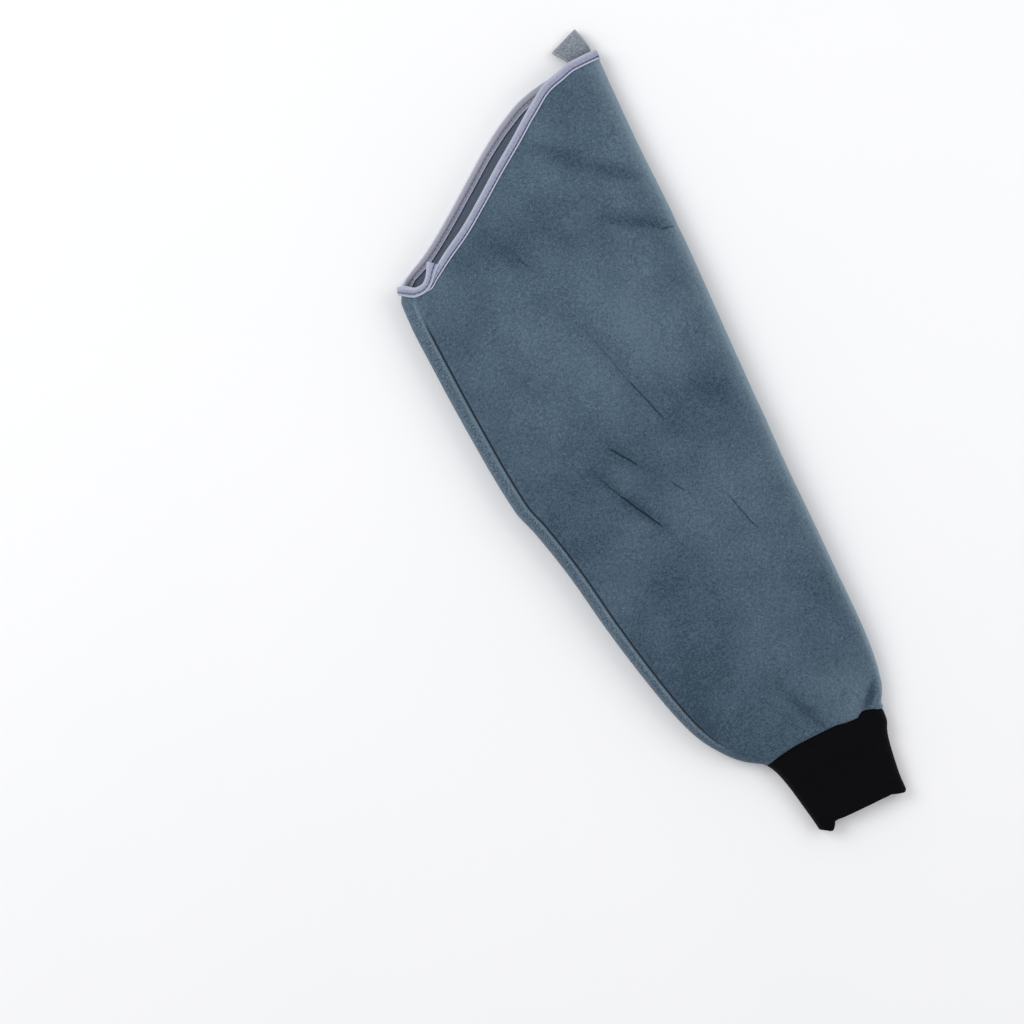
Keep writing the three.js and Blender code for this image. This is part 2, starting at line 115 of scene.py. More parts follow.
class Wire:
    """A socket of a node tree. Arithmetic on it adds Math nodes, and node() adds any other node."""

    def __init__(self, tree, socket=None):
        self.tree = tree
        self.socket = socket

    def node(self, kind, settings=None, sockets=None, out=0):
        node = self.tree.nodes.new(kind)
        for name, value in (settings or {}).items():
            setattr(node, name, value)
        for key, value in (sockets or {}).items():
            target = find_socket(node.inputs, key)
            if isinstance(value, Wire):
                self.tree.links.new(value.socket, target)
            else:
                target.default_value = value
        return Wire(self.tree, find_socket(node.outputs, out)) if node.outputs else None

    def math(self, operation, other=None, swapped=False):
        """A Math node on this wire alone, or on it and another value, which comes first if swapped."""
        values = (other, self) if swapped else (self, other)
        sockets = {index: value for index, value in enumerate(values) if value is not None}
        return self.node("ShaderNodeMath", {"operation": operation}, sockets)

    def __add__(self, other):
        return self.math("ADD", other)

    def __radd__(self, other):
        return self.math("ADD", other, swapped=True)

    def __sub__(self, other):
        return self.math("SUBTRACT", other)

    def __rsub__(self, other):
        return self.math("SUBTRACT", other, swapped=True)

    def __mul__(self, other):
        return self.math("MULTIPLY", other)

    def __rmul__(self, other):
        return self.math("MULTIPLY", other, swapped=True)

    def __truediv__(self, other):
        return self.math("DIVIDE", other)

    def __abs__(self):
        return self.math("ABSOLUTE")

    def parts(self):
        """The three numbers of a vector."""
        first = self.node("ShaderNodeSeparateXYZ", sockets={"Vector": self})
        return [Wire(self.tree, socket) for socket in first.socket.node.outputs]

    def ease(self, low, high):
        """0 up to low, 1 from high, and a smooth step between them."""
        limits = {"Value": self, "From Min": low, "From Max": high}
        return self.node("ShaderNodeMapRange", {"interpolation_type": "SMOOTHSTEP"}, limits)

    def blend(self, without, full):
        """One colour turning into another as this mask goes from 0 to 1."""
        colours = {"Factor_Float": self, "A_Color": without, "B_Color": full}
        return self.node("ShaderNodeMix", {"data_type": "RGBA"}, colours, out="Result_Color")


def noise(where, size, detail=3, roughness=0.55):
    """Soft noise from 0 to 1 with patches of about the given size."""
    sockets = {"Vector": where, "Scale": 1 / size, "Detail": detail, "Roughness": roughness}
    return where.node("ShaderNodeTexNoise", sockets=sockets)


def new_finish(name):
    """An empty material, as the wire to start its nodes from, and the object coordinates in it."""
    finish = bpy.data.materials.new(name)
    finish.use_nodes = True
    finish.node_tree.nodes.clear()
    start = Wire(finish.node_tree)
    return finish, start.node("ShaderNodeTexCoord", out="Object")


def finish_surface(where, colour, roughness, relief=None, depth=0.001, constants=None):
    """Closes a material: its colour and roughness, and a relief whose 0 to 1 stands for a depth."""
    sockets = {"Base Color": colour, "Roughness": roughness, **(constants or {})}
    if relief is not None:
        sockets["Normal"] = where.node("ShaderNodeBump", sockets={"Height": relief, "Distance": depth})
    surface = where.node("ShaderNodeBsdfPrincipled", sockets=sockets)
    where.node("ShaderNodeOutputMaterial", sockets={"Surface": surface})


floor_finish, floor_place = new_finish("table_top")
floor_mottle = noise(floor_place, floor_mottle_size, detail=2)
floor_mottle = floor_mottle.blend(paint(*floor_colours["shade"]), paint(*floor_colours["main"]))
finish_surface(floor_place, floor_mottle, floor_roughness)

floor_mesh = bpy.data.meshes.new("floor")
floor_half = floor_side / 2
floor_square = ((-1, -1), (1, -1), (1, 1), (-1, 1))
floor_corners = [(x * floor_half, y * floor_half, -floor_drop) for x, y in floor_square]
floor_mesh.from_pydata(floor_corners, [], [(0, 1, 2, 3)])
floor_mesh.materials.append(floor_finish)
floor = bpy.data.objects.new("floor", floor_mesh)
bpy.context.collection.objects.link(floor)


# Leather sleeve
# One panel of split cowhide, napped on both faces. It is folded along the outer arm and closed by a
# turned seam under the arm, which shows as a groove beside a raised edge, and it lies flattened.

# The panel and how it lies
upper_arm_width = 0.200
wrist_width = 0.0935
fold_side_length = 0.497
seam_side_length = 0.415
seam_side_share = 0.607
cuff_length = 0.062
leather_thickness = 0.0014
lie_height = 0.028
edge_level = 0.45
crown_height = 0.003
fold_reach = 0.018
seam_reach = 0.015

# The straight stretch below the mouth that the tape covers, and the corner that its sewing draws in
tape_thickness = 0.0008
binding_width = 0.0062
join_gap = 0.0002
binding_stack = join_gap + tape_thickness
straight_band = binding_width + 0.0015
tape_below_fade = (0.011, 0.026)
corner_pinch = 0.0034
pinch_reach = (0.003, 0.0105)
corner_squeeze = 0.15
corner_reach = (0.06, 0.17)

# The turned seam: a groove with a ridge beside it, fading towards both ends
seam_inset = 0.010
groove_depth = 0.0012
groove_width = 0.0008
groove_fade = (0.006, 0.032)
groove_least = 0.2
groove_side = 0.3
ridge_height = 0.0006
ridge_width = 0.0014
ridge_beside = 1.6
seam_fades = {"wrist": (0.004, 0.05), "mouth": (-0.004, 0.006)}
strip_edge = 0.001

# How the front is pressed, and how the wrist is turned in and gathered
front_free = {"mouth": (0.009, 0.024), "wrist": (0.005, 0.014)}
press_start = 0.004
full_press = 0.085
crease_end_share = 0.45
fold_nick = 0.35
nick_across = 0.92
turned_edge = 0.0022
turned_edge_drop = 0.0008
pucker_height = 0.0004
pucker_count = 34
pucker_sway = {"height": 3, "rate": 9}
pucker_start = 0.004
pucker_reach = 0.020

# Painted highlight: along the fold, where the nap catches the light, and over the gathers at the wrist
highlight_bands = (
    {"share": 0.45, "across": (0.91, 0.985)},
    {"share": 0.55, "across": (0.968, 0.996)},
)
highlight_level = (-0.9, 0.3)
wrist_highlight = {"share": 0.33, "along": (0.012, 0.07), "across": (0.35, 0.75), "spares": (0.08, 0.6)}

# Rows and columns of the mesh, and the steps that slopes are measured over
leather_columns = {"front": 140, "fold": 26, "back": 50, "seam_back": 10}
seam_insets = {"plain": 0.0012, "fine": 0.00036, "fine_reach": 0.0026}
leather_rows = 264
lining_rows = 110
band_rows = 8
slope_steps = {"across": 0.01, "turn": 0.004, "along": 0.0005}


class Table:
    """Rows with named columns, read along a smooth line that keeps to the rows and never overshoots."""

    def __init__(self, names, *rows):
        self.columns = dict(zip(names.split(), np.array(rows, float).T))
        self.places = self.columns[names.split()[0]]

    def __call__(self, name, place):
        places, values = self.places, self.columns[name]
        slopes = np.diff(values) / np.diff(places)
        before, behind = slopes[:-1], slopes[1:]
        same_way = before * behind > 0
        total = np.where(same_way, before + behind, 1)
        between = np.where(same_way, 2 * before * behind / total, 0)
        tangents = np.concatenate((slopes[:1], between, slopes[-1:]))
        within = np.clip(place, places[0], places[-1])
        after = np.clip(np.searchsorted(places, within, side="right"), 1, len(places) - 1)
        start = after - 1
        span = places[after] - places[start]
        share = (within - places[start]) / span
        squared, cubed = share**2, share**3
        line = values[start] * (2 * cubed - 3 * squared + 1) + values[after] * (3 * squared - 2 * cubed)
        bend = tangents[start] * (cubed - 2 * squared + share) + tangents[after] * (cubed - squared)
        return line + bend * span


# Outline from wrist (0) to mouth (1): swells are shares of the way from wrist to upper arm width.
leather_outline = Table(
    "along seam_swell fold_swell height",
    (0, 0, 0, 0.6),
    (0.016, 0.15, 0.15, 0.61),
    (0.036, 0.27, 0.25, 0.66),
    (0.076, 0.43, 0.36, 0.76),
    (0.117, 0.52, 0.42, 0.84),
    (0.197, 0.63, 0.475, 0.93),
    (0.278, 0.715, 0.535, 0.98),
    (0.358, 0.78, 0.585, 1),
    (0.439, 0.88, 0.675, 1),
    (0.479, 0.95, 0.71, 1),
    (0.559, 0.985, 0.79, 1),
    (0.68, 1, 0.92, 0.98),
    (0.76, 1, 0.985, 0.95),
    (0.795, 0.988, 0.998, 0.93),
    (0.84, 0.962, 1.015, 0.9),
    (0.92, 0.962, 1.08, 0.82),
    (1, 0.962, 1.155, 0.72),
)

# The slanted mouth from seam (0) to fold (1), as shares of the way from the seam side's length to the
# fold side's. The back layer stands further out than the front one.
mouth_line = Table(
    "across front back",
    (0, -0.005, -0.005),
    (0.012, -0.03, 0.018),
    (0.03, -0.062, 0.045),
    (0.058, -0.092, 0.069),
    (0.1, -0.084, 0.108),
    (0.145, -0.018, 0.158),
    (0.2, 0.059, 0.232),
    (0.3, 0.183, 0.384),
    (0.4, 0.336, 0.545),
    (0.5, 0.498, 0.705),
    (0.6, 0.652, 0.84),
    (0.7, 0.815, 0.937),
    (0.79, 0.94, 0.972),
    (0.85, 0.975, 0.978),
    (0.9, 1.0, 0.985),
    (1, 1, 1),
)

# Where the leather meets the cuff, off its mean place, as a share of the cuff's length
wrist_line = Table(
    "across rise",
    (0, -0.02),
    (0.18, 0.02),
    (0.32, 0.035),
    (0.5, 0.03),
    (0.6, 0.024),
    (0.69, -0.004),
    (0.78, -0.016),
    (0.805, 0.008),
    (0.835, 0.024),
    (0.9, -0.002),
    (0.96, -0.045),
    (1, -0.065),
)

# Creases pressed into the front, and one raised beside the wrist: ends as places across and along, width
# and depth as shares of the height that the sleeve lies at.
creases = (
    {"start": (0.64, 0.925), "end": (0.8, 0.862), "width": 0.2, "depth": 0.08},
    {"start": (0.8, 0.862), "end": (0.94, 0.813), "width": 0.2, "depth": 0.09},
    {"start": (0.776, 0.781), "end": (0.99, 0.728), "width": 0.18, "depth": 0.095},
    {"start": (0.332, 0.85), "end": (0.47, 0.767), "width": 0.32, "depth": 0.06},
    {"start": (0.409, 0.503), "end": (0.495, 0.445), "width": 0.2, "depth": 0.045},
    {"start": (0.3235, 0.477), "end": (0.355, 0.429), "width": 0.18, "depth": 0.05},
    {"start": (0.355, 0.429), "end": (0.435, 0.36), "width": 0.18, "depth": 0.075},
    {"start": (0.513, 0.696), "end": (0.6585, 0.486), "width": 0.34, "depth": 0.045},
    {"start": (0.814, 0.519), "end": (0.97, 0.467), "width": 0.32, "depth": 0.06},
    {"start": (0.494, 0.092), "end": (0.545, 0.006), "width": 0.24, "depth": 0.06},
    {"start": (0.975, 0.034), "end": (0.85, 0.0015), "width": 0.16, "depth": 0.08},
    {"start": (0.86, 0.032), "end": (0.74, 0.01), "width": 0.17, "depth": -0.045},
)

# Slow waves of the front, as it rests on the air and the folds inside
waves = (
    {"length": 0.21, "heading": 62, "phase": 0.4, "height": 0.0009},
    {"length": 0.13, "heading": 118, "phase": 2.1, "height": 0.0006},
    {"length": 0.083, "heading": 35, "phase": 4.4, "height": 0.00035},
    {"length": 0.061, "heading": 150, "phase": 1.2, "height": 0.00022},
)


def mix(start, end, share):
    return start + (end - start) * share


def smooth_step(value, start, end):
    share = np.clip((value - start) / (end - start), 0, 1)
    return share * share * (3 - 2 * share)


def place_round(turn):
    """Place across the flattened tube, and level from -1 (back) to 1 (front). The turn goes 0 to 1 over
    the front from seam to fold, to 2 round the fold, to 3 over the back, to 4 round the seam edge."""
    whole = np.mod(turn, 4.0)
    part = whole - np.floor(whole)
    angle = part * math.pi
    seam_share = seam_reach / upper_arm_width
    fold_share = fold_reach / upper_arm_width
    stretches = [whole < 1, whole < 2, whole < 3]
    front = mix(seam_share, 1 - fold_share, part)
    fold = 1 - fold_share * (1 - np.sin(angle))
    back = mix(1 - fold_share, seam_share, part)
    across = np.select(stretches, [front, fold, back], seam_share * (1 - np.sin(angle)))
    level = np.select(stretches, [np.ones_like(part), np.cos(angle), -np.ones_like(part)], -np.cos(angle))
    return across, level


def turn_from_seam(inset):
    """The turn at a distance in from the seam edge, on the front half of its rounding."""
    return 4 - np.arcsin(1 - inset / seam_reach) / math.pi


def mouth_y(turn):
    across, level = place_round(turn)
    share = mix(mouth_line("back", across), mouth_line("front", across), (level + 1) / 2)
    return cuff_length + mix(seam_side_length, fold_side_length, share)


def mouth_stretch(turn):
    """How much longer the slanted mouth makes a width measured along the arm. At the seam corner the
    sewing draws it together."""
    across, level = place_round(turn)
    step = slope_steps["across"]
    ends = []
    for shifted in (np.maximum(across - step, 0), np.minimum(across + step, 1)):
        share = mix(mouth_line("back", shifted), mouth_line("front", shifted), (level + 1) / 2)
        ends.append(mix(seam_side_length, fold_side_length, share))
    slant = np.hypot(1, (ends[1] - ends[0]) / (2 * step * upper_arm_width))
    return slant * (1 - corner_squeeze * (1 - smooth_step(across, *corner_reach)))


def wrist_y(turn):
    across = place_round(turn)[0]
    return cuff_length * (1 + wrist_line("rise", across))


def leather_edges(y):
    """The seam edge's and the fold's place across, and the height, at a place along."""
    along = (y - cuff_length) / fold_side_length
    half = wrist_width / 2
    seam_span = upper_arm_width * seam_side_share - half
    fold_span = upper_arm_width * (1 - seam_side_share) - half
    seam = -half - seam_span * leather_outline("seam_swell", along)
    fold = half + fold_span * leather_outline("fold_swell", along)
    return seam, fold, lie_height * leather_outline("height", along)


def press_of(across, along):
    """How far the creases press the front in at a place."""
    here = np.stack((across * upper_arm_width, along * fold_side_length), -1)
    size = np.array((upper_arm_width, fold_side_length))
    deepest, highest = np.zeros(np.shape(across)), np.zeros(np.shape(across))
    for crease in creases:
        start, end = (np.array(crease[key]) * size for key in ("start", "end"))
        way = end - start
        share = np.clip((here - start) @ way / (way @ way), 0, 1)
        reach = np.linalg.norm(here - start - share[..., None] * way, axis=-1)
        reach = reach / (crease["width"] * lie_height)
        taper = mix(crease_end_share, 1, np.sin(np.pi * share))
        press = crease["depth"] * lie_height * taper * np.exp(-reach * reach)
        deepest, highest = np.maximum(deepest, press), np.minimum(highest, press)
    return deepest + highest


def wave_of(x, y):
    total = 0
    for wave in waves:
        heading = math.radians(wave["heading"])
        run = x * math.cos(heading) + y * math.sin(heading)
        total = total + wave["height"] * np.sin(math.tau * run / wave["length"] + wave["phase"])
    return total


def leather_point(turn, y):
    """A point on the outside of the leather. Under the binding the tube is raised by the tape below."""
    across, level = place_round(turn)
    seam, fold, height = leather_edges(y)
    mouth_gap = mouth_y(turn) - y
    seam = seam + corner_pinch * (1 - smooth_step(mouth_gap, *pinch_reach))
    wrist_gap = y - wrist_y(turn)
    free = smooth_step(mouth_gap, *front_free["mouth"])
    base = binding_stack * (1 - smooth_step(mouth_gap, *tape_below_fade))
    middle = base + height * edge_level
    crown = crown_height * np.sin(np.pi * across) * (fold - seam) / upper_arm_width
    x = mix(seam, fold, across)
    wave = wave_of(x, y) * np.sin(np.pi * across) * smooth_step(wrist_gap, *front_free["wrist"])
    press = press_of(across, (y - cuff_length) / fold_side_length) * smooth_step(wrist_gap, 0, press_start)
    x = x - fold_nick * press * smooth_step(across, nick_across, 1)
    top = height + crown + (wave - press) * free
    z = np.where(level > 0, mix(middle, top, level), mix(middle, base, -level))
    return np.stack((x, y + 0 * x, z), -1)


def frame_at(point_at, turn, y):
    """The points of a surface, its outward directions, and the directions that run to the mouth."""
    turn, y = np.broadcast_arrays(turn, y)
    turn_step, y_step = slope_steps["turn"], slope_steps["along"]
    around = point_at(turn + turn_step, y) - point_at(turn - turn_step, y)
    run = point_at(turn, y + y_step) - point_at(turn, y - y_step)
    run = run / np.linalg.norm(run, axis=-1, keepdims=True)
    normal = np.cross(around, run)
    return point_at(turn, y), normal / np.linalg.norm(normal, axis=-1, keepdims=True), run


def band_frames(turn):
    """The two ends of the straight stretch of leather below the mouth, which the tape covers."""
    end = mouth_y(turn)
    start = end - straight_band * mouth_stretch(turn)
    return frame_at(leather_point, turn, start), frame_at(leather_point, turn, end)


def band_point(turn, down, out):
    """Points a distance down from the mouth's edge, or past it, and out from the leather. The arrays
    that come back have a row for each turn and a column for each pair of down and out."""
    start, end = band_frames(turn)
    down, out = np.broadcast_arrays(down, out)
    down, out = down[..., None], out[..., None]
    lifted_start = start[0][:, None] + start[1][:, None] * out
    lifted_end = end[0][:, None] + end[1][:, None] * out
    on_band = mix(lifted_start, lifted_end, 1 - down / straight_band)
    past = lifted_end - end[2][:, None] * down * mouth_stretch(turn)[:, None, None]
    return np.where(down >= 0, on_band, past)


def new_piece(name, points, faces, finish, uv=None, marks=None):
    """A smooth mesh object at the origin. uv has a pair for each face corner, marks are vectors kept on
    the points for the material to read."""
    mesh = bpy.data.meshes.new(name)
    corners = [[int(spot) for spot in face] for face in faces]
    mesh.from_pydata((np.asarray(points).reshape(-1, 3) + row_origin).tolist(), [], corners)
    mesh.shade_smooth()
    if uv is not None:
        mesh.uv_layers.new(name="weave").data.foreach_set("uv", np.asarray(uv, np.float32).ravel())
    for mark, values in (marks or {}).items():
        attribute = mesh.attributes.new(mark, "FLOAT_VECTOR", "POINT")
        attribute.data.foreach_set("vector", np.asarray(values, np.float32).ravel())
    mesh.materials.append(finish)
    piece = bpy.data.objects.new(name, mesh)
    bpy.context.collection.objects.link(piece)
    return piece


def ring_faces(profiles, size, closed=True):
    """Quads between closed profiles of equal size, and back to the first one where it is closed."""
    here = np.arange(profiles if closed else profiles - 1)[:, None]
    spot = np.arange(size)[None, :]
    after, behind = (here + 1) % profiles, (spot + 1) % size
    corners = (here * size + spot, after * size + spot, after * size + behind, here * size + behind)
    return np.stack(np.broadcast_arrays(*corners), -1).reshape(-1, 4)


def ring_uv(round_places, along_places):
    """A pair for each corner of ring_faces, where both lists have one place more than there are faces,
    or where the second one has a row of places for each profile."""
    along = np.broadcast_to(along_places, (len(round_places), np.shape(along_places)[-1]))
    around = np.broadcast_to(np.asarray(round_places)[:, None], along.shape)
    pair = np.stack((around, along), -1)
    return np.stack((pair[:-1, :-1], pair[1:, :-1], pair[1:, 1:], pair[:-1, 1:]), 2)


def leather_turns():
    fine_start, fine_end = seam_inset - seam_insets["fine_reach"], seam_inset + seam_insets["fine_reach"]
    insets = np.concatenate((
        np.arange(0, fine_start, seam_insets["plain"]),
        np.arange(fine_start, fine_end, seam_insets["fine"]),
        np.arange(fine_end, seam_reach - seam_insets["fine"], seam_insets["plain"]),
    ))
    return np.concatenate((
        np.arange(leather_columns["front"]) / leather_columns["front"],
        1 + np.arange(leather_columns["fold"]) / leather_columns["fold"],
        2 + np.arange(leather_columns["back"]) / leather_columns["back"],
        3 + 0.5 * np.arange(leather_columns["seam_back"]) / leather_columns["seam_back"],
        turn_from_seam(insets),
    ))


def leather_wall(turn, row_count, lined):
    """Rows of points from the wrist to the mouth on one face of the leather, and what marks them."""
    column = turn[:, None]
    wrist = wrist_y(column)
    band_start = mouth_y(column) - straight_band * mouth_stretch(column)
    y = mix(wrist, band_start, (np.arange(row_count) / row_count)[None, :])
    point, normal = frame_at(leather_point, column, y)[:2]
    across, level = place_round(column + 0 * y)
    seam, fold = leather_edges(y)[:2]
    inset = across * (fold - seam)
    groove_inset = seam_inset / upper_arm_width * (fold - seam)
    from_groove = np.where((level > 0) & (across < groove_side), inset - groove_inset, 1)
    fade = smooth_step(y - wrist, *seam_fades["wrist"])
    fade = fade * smooth_step(band_start - y, *seam_fades["mouth"])
    groove = np.exp(-(from_groove / groove_width) ** 2) * fade
    groove = groove * mix(groove_least, 1, smooth_step(band_start - y, *groove_fade))
    beside = (from_groove + groove_width * ridge_beside) / ridge_width
    ridge = np.exp(-beside * beside) * fade
    sway = pucker_sway["height"] * np.sin(pucker_sway["rate"] * across)
    pucker = 0.5 + 0.5 * np.sin(math.tau * pucker_count * across + sway)
    pucker = pucker * (1 - smooth_step(y - wrist, 0, pucker_reach))
    pucker = pucker * smooth_step(y - wrist, 0, pucker_start)
    relief = ridge_height * ridge - groove_depth * groove - pucker_height * pucker
    edge = np.clip(1 - (y - wrist) / turned_edge, 0, 1)
    rounding = turned_edge_drop * (1 - np.sqrt(np.clip(1 - edge * edge, 0, 1)))
    out = -leather_thickness + relief if lined else relief - rounding
    point = point + normal * out[..., None]
    band_share = (np.arange(band_rows) + 1) / band_rows
    band_out = -leather_thickness if lined else 0.0
    band = band_point(turn, straight_band * (1 - band_share), band_out)
    # How deep the creases press in, which the finish paints as shade, and as a highlight where the crease by
    # the wrist is raised
    pressed = press_of(across, (y - cuff_length) / fold_side_length) / (full_press * lie_height)
    strip = smooth_step(-from_groove, 0, strip_edge) * fade
    # Painted highlight along the fold, where the nap catches the light
    rim = sum(band["share"] * smooth_step(across, *band["across"]) for band in highlight_bands)
    rim = rim * smooth_step(level, *highlight_level)
    # Painted highlight over the gathers at the wrist, left out where the creases press in
    gather_highlight = smooth_step(across, *wrist_highlight["across"]) * (level > 0)
    gather_highlight = gather_highlight * (1 - smooth_step(y - wrist, *wrist_highlight["along"]))
    gather_highlight = gather_highlight * (1 - smooth_step(pressed, *wrist_highlight["spares"]))
    rim = np.maximum(rim, wrist_highlight["share"] * gather_highlight)
    # The second mark holds the painted highlight, the crease depth that the finish paints as shade, and 1 on
    # the lining
    marks = {
        "seam": np.stack((groove, strip, ridge), -1),
        "highlight_shade_lining": np.stack((rim, pressed * (level > 0), np.full_like(rim, float(lined))), -1),
    }
    ends = {name: np.repeat(values[:, -1:], band_rows, axis=1) for name, values in marks.items()}
    marks = {name: np.concatenate((values, ends[name]), 1) for name, values in marks.items()}
    return np.concatenate((point, band), 1), marks


# Fine lines painted dark as shade at the bottom of the creases: ends as places across and along, the shares
# of the line over which it fades in and out, and strength
crease_shade_lines = (
    {"start": (0.3235, 0.477), "end": (0.355, 0.429), "fades": (0.6, 0.001), "strength": 0.6},
    {"start": (0.355, 0.429), "end": (0.405, 0.386), "fades": (0.001, 0.001), "strength": 0.95},
    {"start": (0.405, 0.386), "end": (0.438, 0.357), "fades": (0.001, 0.5), "strength": 0.95},
    {"start": (0.409, 0.503), "end": (0.495, 0.445), "fades": (0.2, 0.35), "strength": 0.85},
    {"start": (0.884, 0.757), "end": (0.937, 0.734), "fades": (0.7, 0.001), "strength": 0.5},
    {"start": (0.937, 0.734), "end": (0.992, 0.728), "fades": (0.001, 0.3), "strength": 0.75},
    {"start": (0.43, 0.797), "end": (0.47, 0.767), "fades": (0.5, 0.4), "strength": 0.6},
    {"start": (0.718, 0.376), "end": (0.753, 0.318), "fades": (0.4, 0.001), "strength": 0.62},
    {"start": (0.753, 0.318), "end": (0.782, 0.292), "fades": (0.001, 0.5), "strength": 0.62},
    {"start": (0.542, 0.421), "end": (0.589, 0.388), "fades": (0.4, 0.4), "strength": 0.7},
    {"start": (0.513, 0.696), "end": (0.6, 0.565), "fades": (0.5, 0.001), "strength": 0.4},
    {"start": (0.6, 0.565), "end": (0.6585, 0.486), "fades": (0.001, 0.25), "strength": 0.72},
    {"start": (0.7, 0.885), "end": (0.79, 0.862), "fades": (0.5, 0.5), "strength": 0.4},
)
line_width = 0.0012
line_wander = 0.0014
wander_size = 0.008

# The rim colour is a painted highlight; the groove colour is painted shade in the seam groove and along the
# crease lines
suede_colours = {
    "dark": paint(48, 66, 82),
    "main": paint(70, 89, 105),
    "light": paint(90, 109, 124),
    "rim": paint(124, 143, 157),
    "groove": paint(6, 21, 36),
    "lining": paint(98, 108, 124),
}

# Sizes of the clouds, patches, nap and fibres, and how much each one tells in the tone
# Painted light: the tone rises towards the mouth, as if the leather were lit more there
painted_light_to_mouth = 0.6
patch_sizes = {"cloud": 0.085, "patch": 0.024, "nap": 0.0021, "fibre": 0.001}
tone_shares = {"cloud": 1.3, "patch": 0.5, "nap": 1.1, "fibre": 1.8}
# The seam strip's pale specks, a painted highlight on the seam ridge, and the strip's own paler tone
seam_tones = {"speck": 6, "ridge": 0.75, "strip": 0.14}
# Painted shade where the creases press in, and a painted highlight where one is raised
painted_shade_tone = 0.42
# How much the rim (painted highlight on the sleeve, paler edges on the loop), the seam ridge (painted
# highlight) and the strip's specks pale the colour
paling_shares = {"rim": 0.35, "rim_nap": 0.75, "ridge": 0.32, "speck": 0.5}
speck_reach = (0.3, 1.3)
full_paling = 0.9
full_groove = 1.1
relief_shares = {"nap": 0.6, "fibre": 0.4, "groove": 0.5}
nap_depth = 0.0006
nap_roughness = 0.95
nap_sheen = {
    "Sheen Weight": 0.2,
    "Sheen Roughness": 0.55,
    "Sheen Tint": (0.8, 0.88, 1, 1),
    "Specular IOR Level": 0.12,
}


def place_on_front(across, along):
    """The place in the frame's x and y of a share across and along."""
    y = cuff_length + along * fold_side_length
    seam, fold = leather_edges(np.array(y))[:2]
    return np.array((mix(seam, fold, across), y)) + row_origin[:2]


def crease_mask(x, y, line):
    """1 along a line between two places on the front, running out beside it and towards its ends."""
    start = place_on_front(*line["start"])
    way = place_on_front(*line["end"]) - start
    way_x, way_y = (float(part) for part in way)
    x, y = x - float(start[0]), y - float(start[1])
    share = (x * way_x + y * way_y) * (1 / float(way @ way))
    share = share.math("MAXIMUM", 0).math("MINIMUM", 1)
    x, y = x - share * way_x, y - share * way_y
    distance = (x * x + y * y).math("SQRT")
    fade_in, fade_out = line["fades"]
    taper = share.ease(0, fade_in) * (1 - share).ease(0, fade_out)
    return (1 - distance.ease(0, line_width)) * taper * line["strength"]


def wandering(place, size, reach):
    """Places that stray a little from their own, so that lines drawn by them aren't straight."""
    stray = place.node("ShaderNodeTexNoise", sockets={"Vector": place, "Scale": 1 / size}, out="Color")
    middle = (0.5, 0.5, 0.5)
    stray = place.node("ShaderNodeVectorMath", {"operation": "SUBTRACT"}, {0: stray, 1: middle})
    stray = place.node("ShaderNodeVectorMath", {"operation": "SCALE"}, {"Vector": stray, "Scale": reach})
    return place.node("ShaderNodeVectorMath", {"operation": "ADD"}, {0: place, 1: stray})


def suede_finish(name, colours, lines=()):
    """Napped split leather: cloudy tones and short fibres that lie in all directions. Its marks give a
    painted highlight (paler edges on the loop) and painted shade (in the creases on the sleeve, by the root
    on the loop), and the seam groove and crease lines are painted dark as shade."""
    finish, place = new_finish(name)
    seam = place.node("ShaderNodeAttribute", {"attribute_name": "seam"}, out="Vector")
    highlight_shade_lining = place.node("ShaderNodeAttribute", {"attribute_name": "highlight_shade_lining"}, out="Vector")
    groove, strip, ridge = seam.parts()
    rim, pressed, lining = highlight_shade_lining.parts()
    cloud = noise(place, patch_sizes["cloud"], detail=2, roughness=0.45)
    patch = noise(place, patch_sizes["patch"], detail=2, roughness=0.5)
    nap = noise(place, patch_sizes["nap"], detail=2, roughness=0.6)
    fibre = noise(place, patch_sizes["fibre"], detail=2, roughness=0.6)
    tone = 0.5 + (cloud - 0.5) * tone_shares["cloud"] + (patch - 0.5) * tone_shares["patch"]
    tone = tone + (nap - 0.5) * tone_shares["nap"] + (fibre - 0.5) * tone_shares["fibre"]
    speck = (fibre - 0.5) * (strip * seam_tones["speck"])
    tone = tone + speck + ridge * seam_tones["ridge"] + strip * seam_tones["strip"]
    # Painted shade where the creases press in, and painted light that grows towards the mouth
    tone = tone - pressed * painted_shade_tone + place.parts()[1] * painted_light_to_mouth
    colour = tone.ease(0, 0.5).blend(colours["dark"], colours["main"])
    colour = tone.ease(0.5, 1).blend(colour, colours["light"])
    # Painted highlight where the rim mark says (paler edges on the loop), a painted highlight on the seam
    # ridge, and paler specks on the strip
    paling = rim * (paling_shares["rim"] + nap * paling_shares["rim_nap"])
    paling = paling + ridge * paling_shares["ridge"] + speck.ease(*speck_reach) * paling_shares["speck"]
    colour = paling.ease(0, full_paling).blend(colour, colours["rim"])
    colour = lining.blend(colour, colours["lining"])
    # The seam groove and the crease lines are painted dark, as shade
    x, y = wandering(place, wander_size, line_wander).parts()[:2]
    deep = groove
    for line in lines:
        deep = deep.math("MAXIMUM", crease_mask(x, y, line) * (1 - lining))
    colour = deep.ease(0, full_groove).blend(colour, colours["groove"])
    relief = nap * relief_shares["nap"] + fibre * relief_shares["fibre"] - deep * relief_shares["groove"]
    finish_surface(place, colour, nap_roughness, relief, nap_depth, nap_sheen)
    return finish


turns = leather_turns()
outer_wall, outer_marks = leather_wall(turns, leather_rows, lined=False)
inner_wall, inner_marks = leather_wall(turns, lining_rows, lined=True)
leather_points = np.concatenate((outer_wall, inner_wall[:, ::-1]), 1)
leather_marks = {key: np.concatenate((outer_marks[key], inner_marks[key][:, ::-1]), 1) for key in outer_marks}

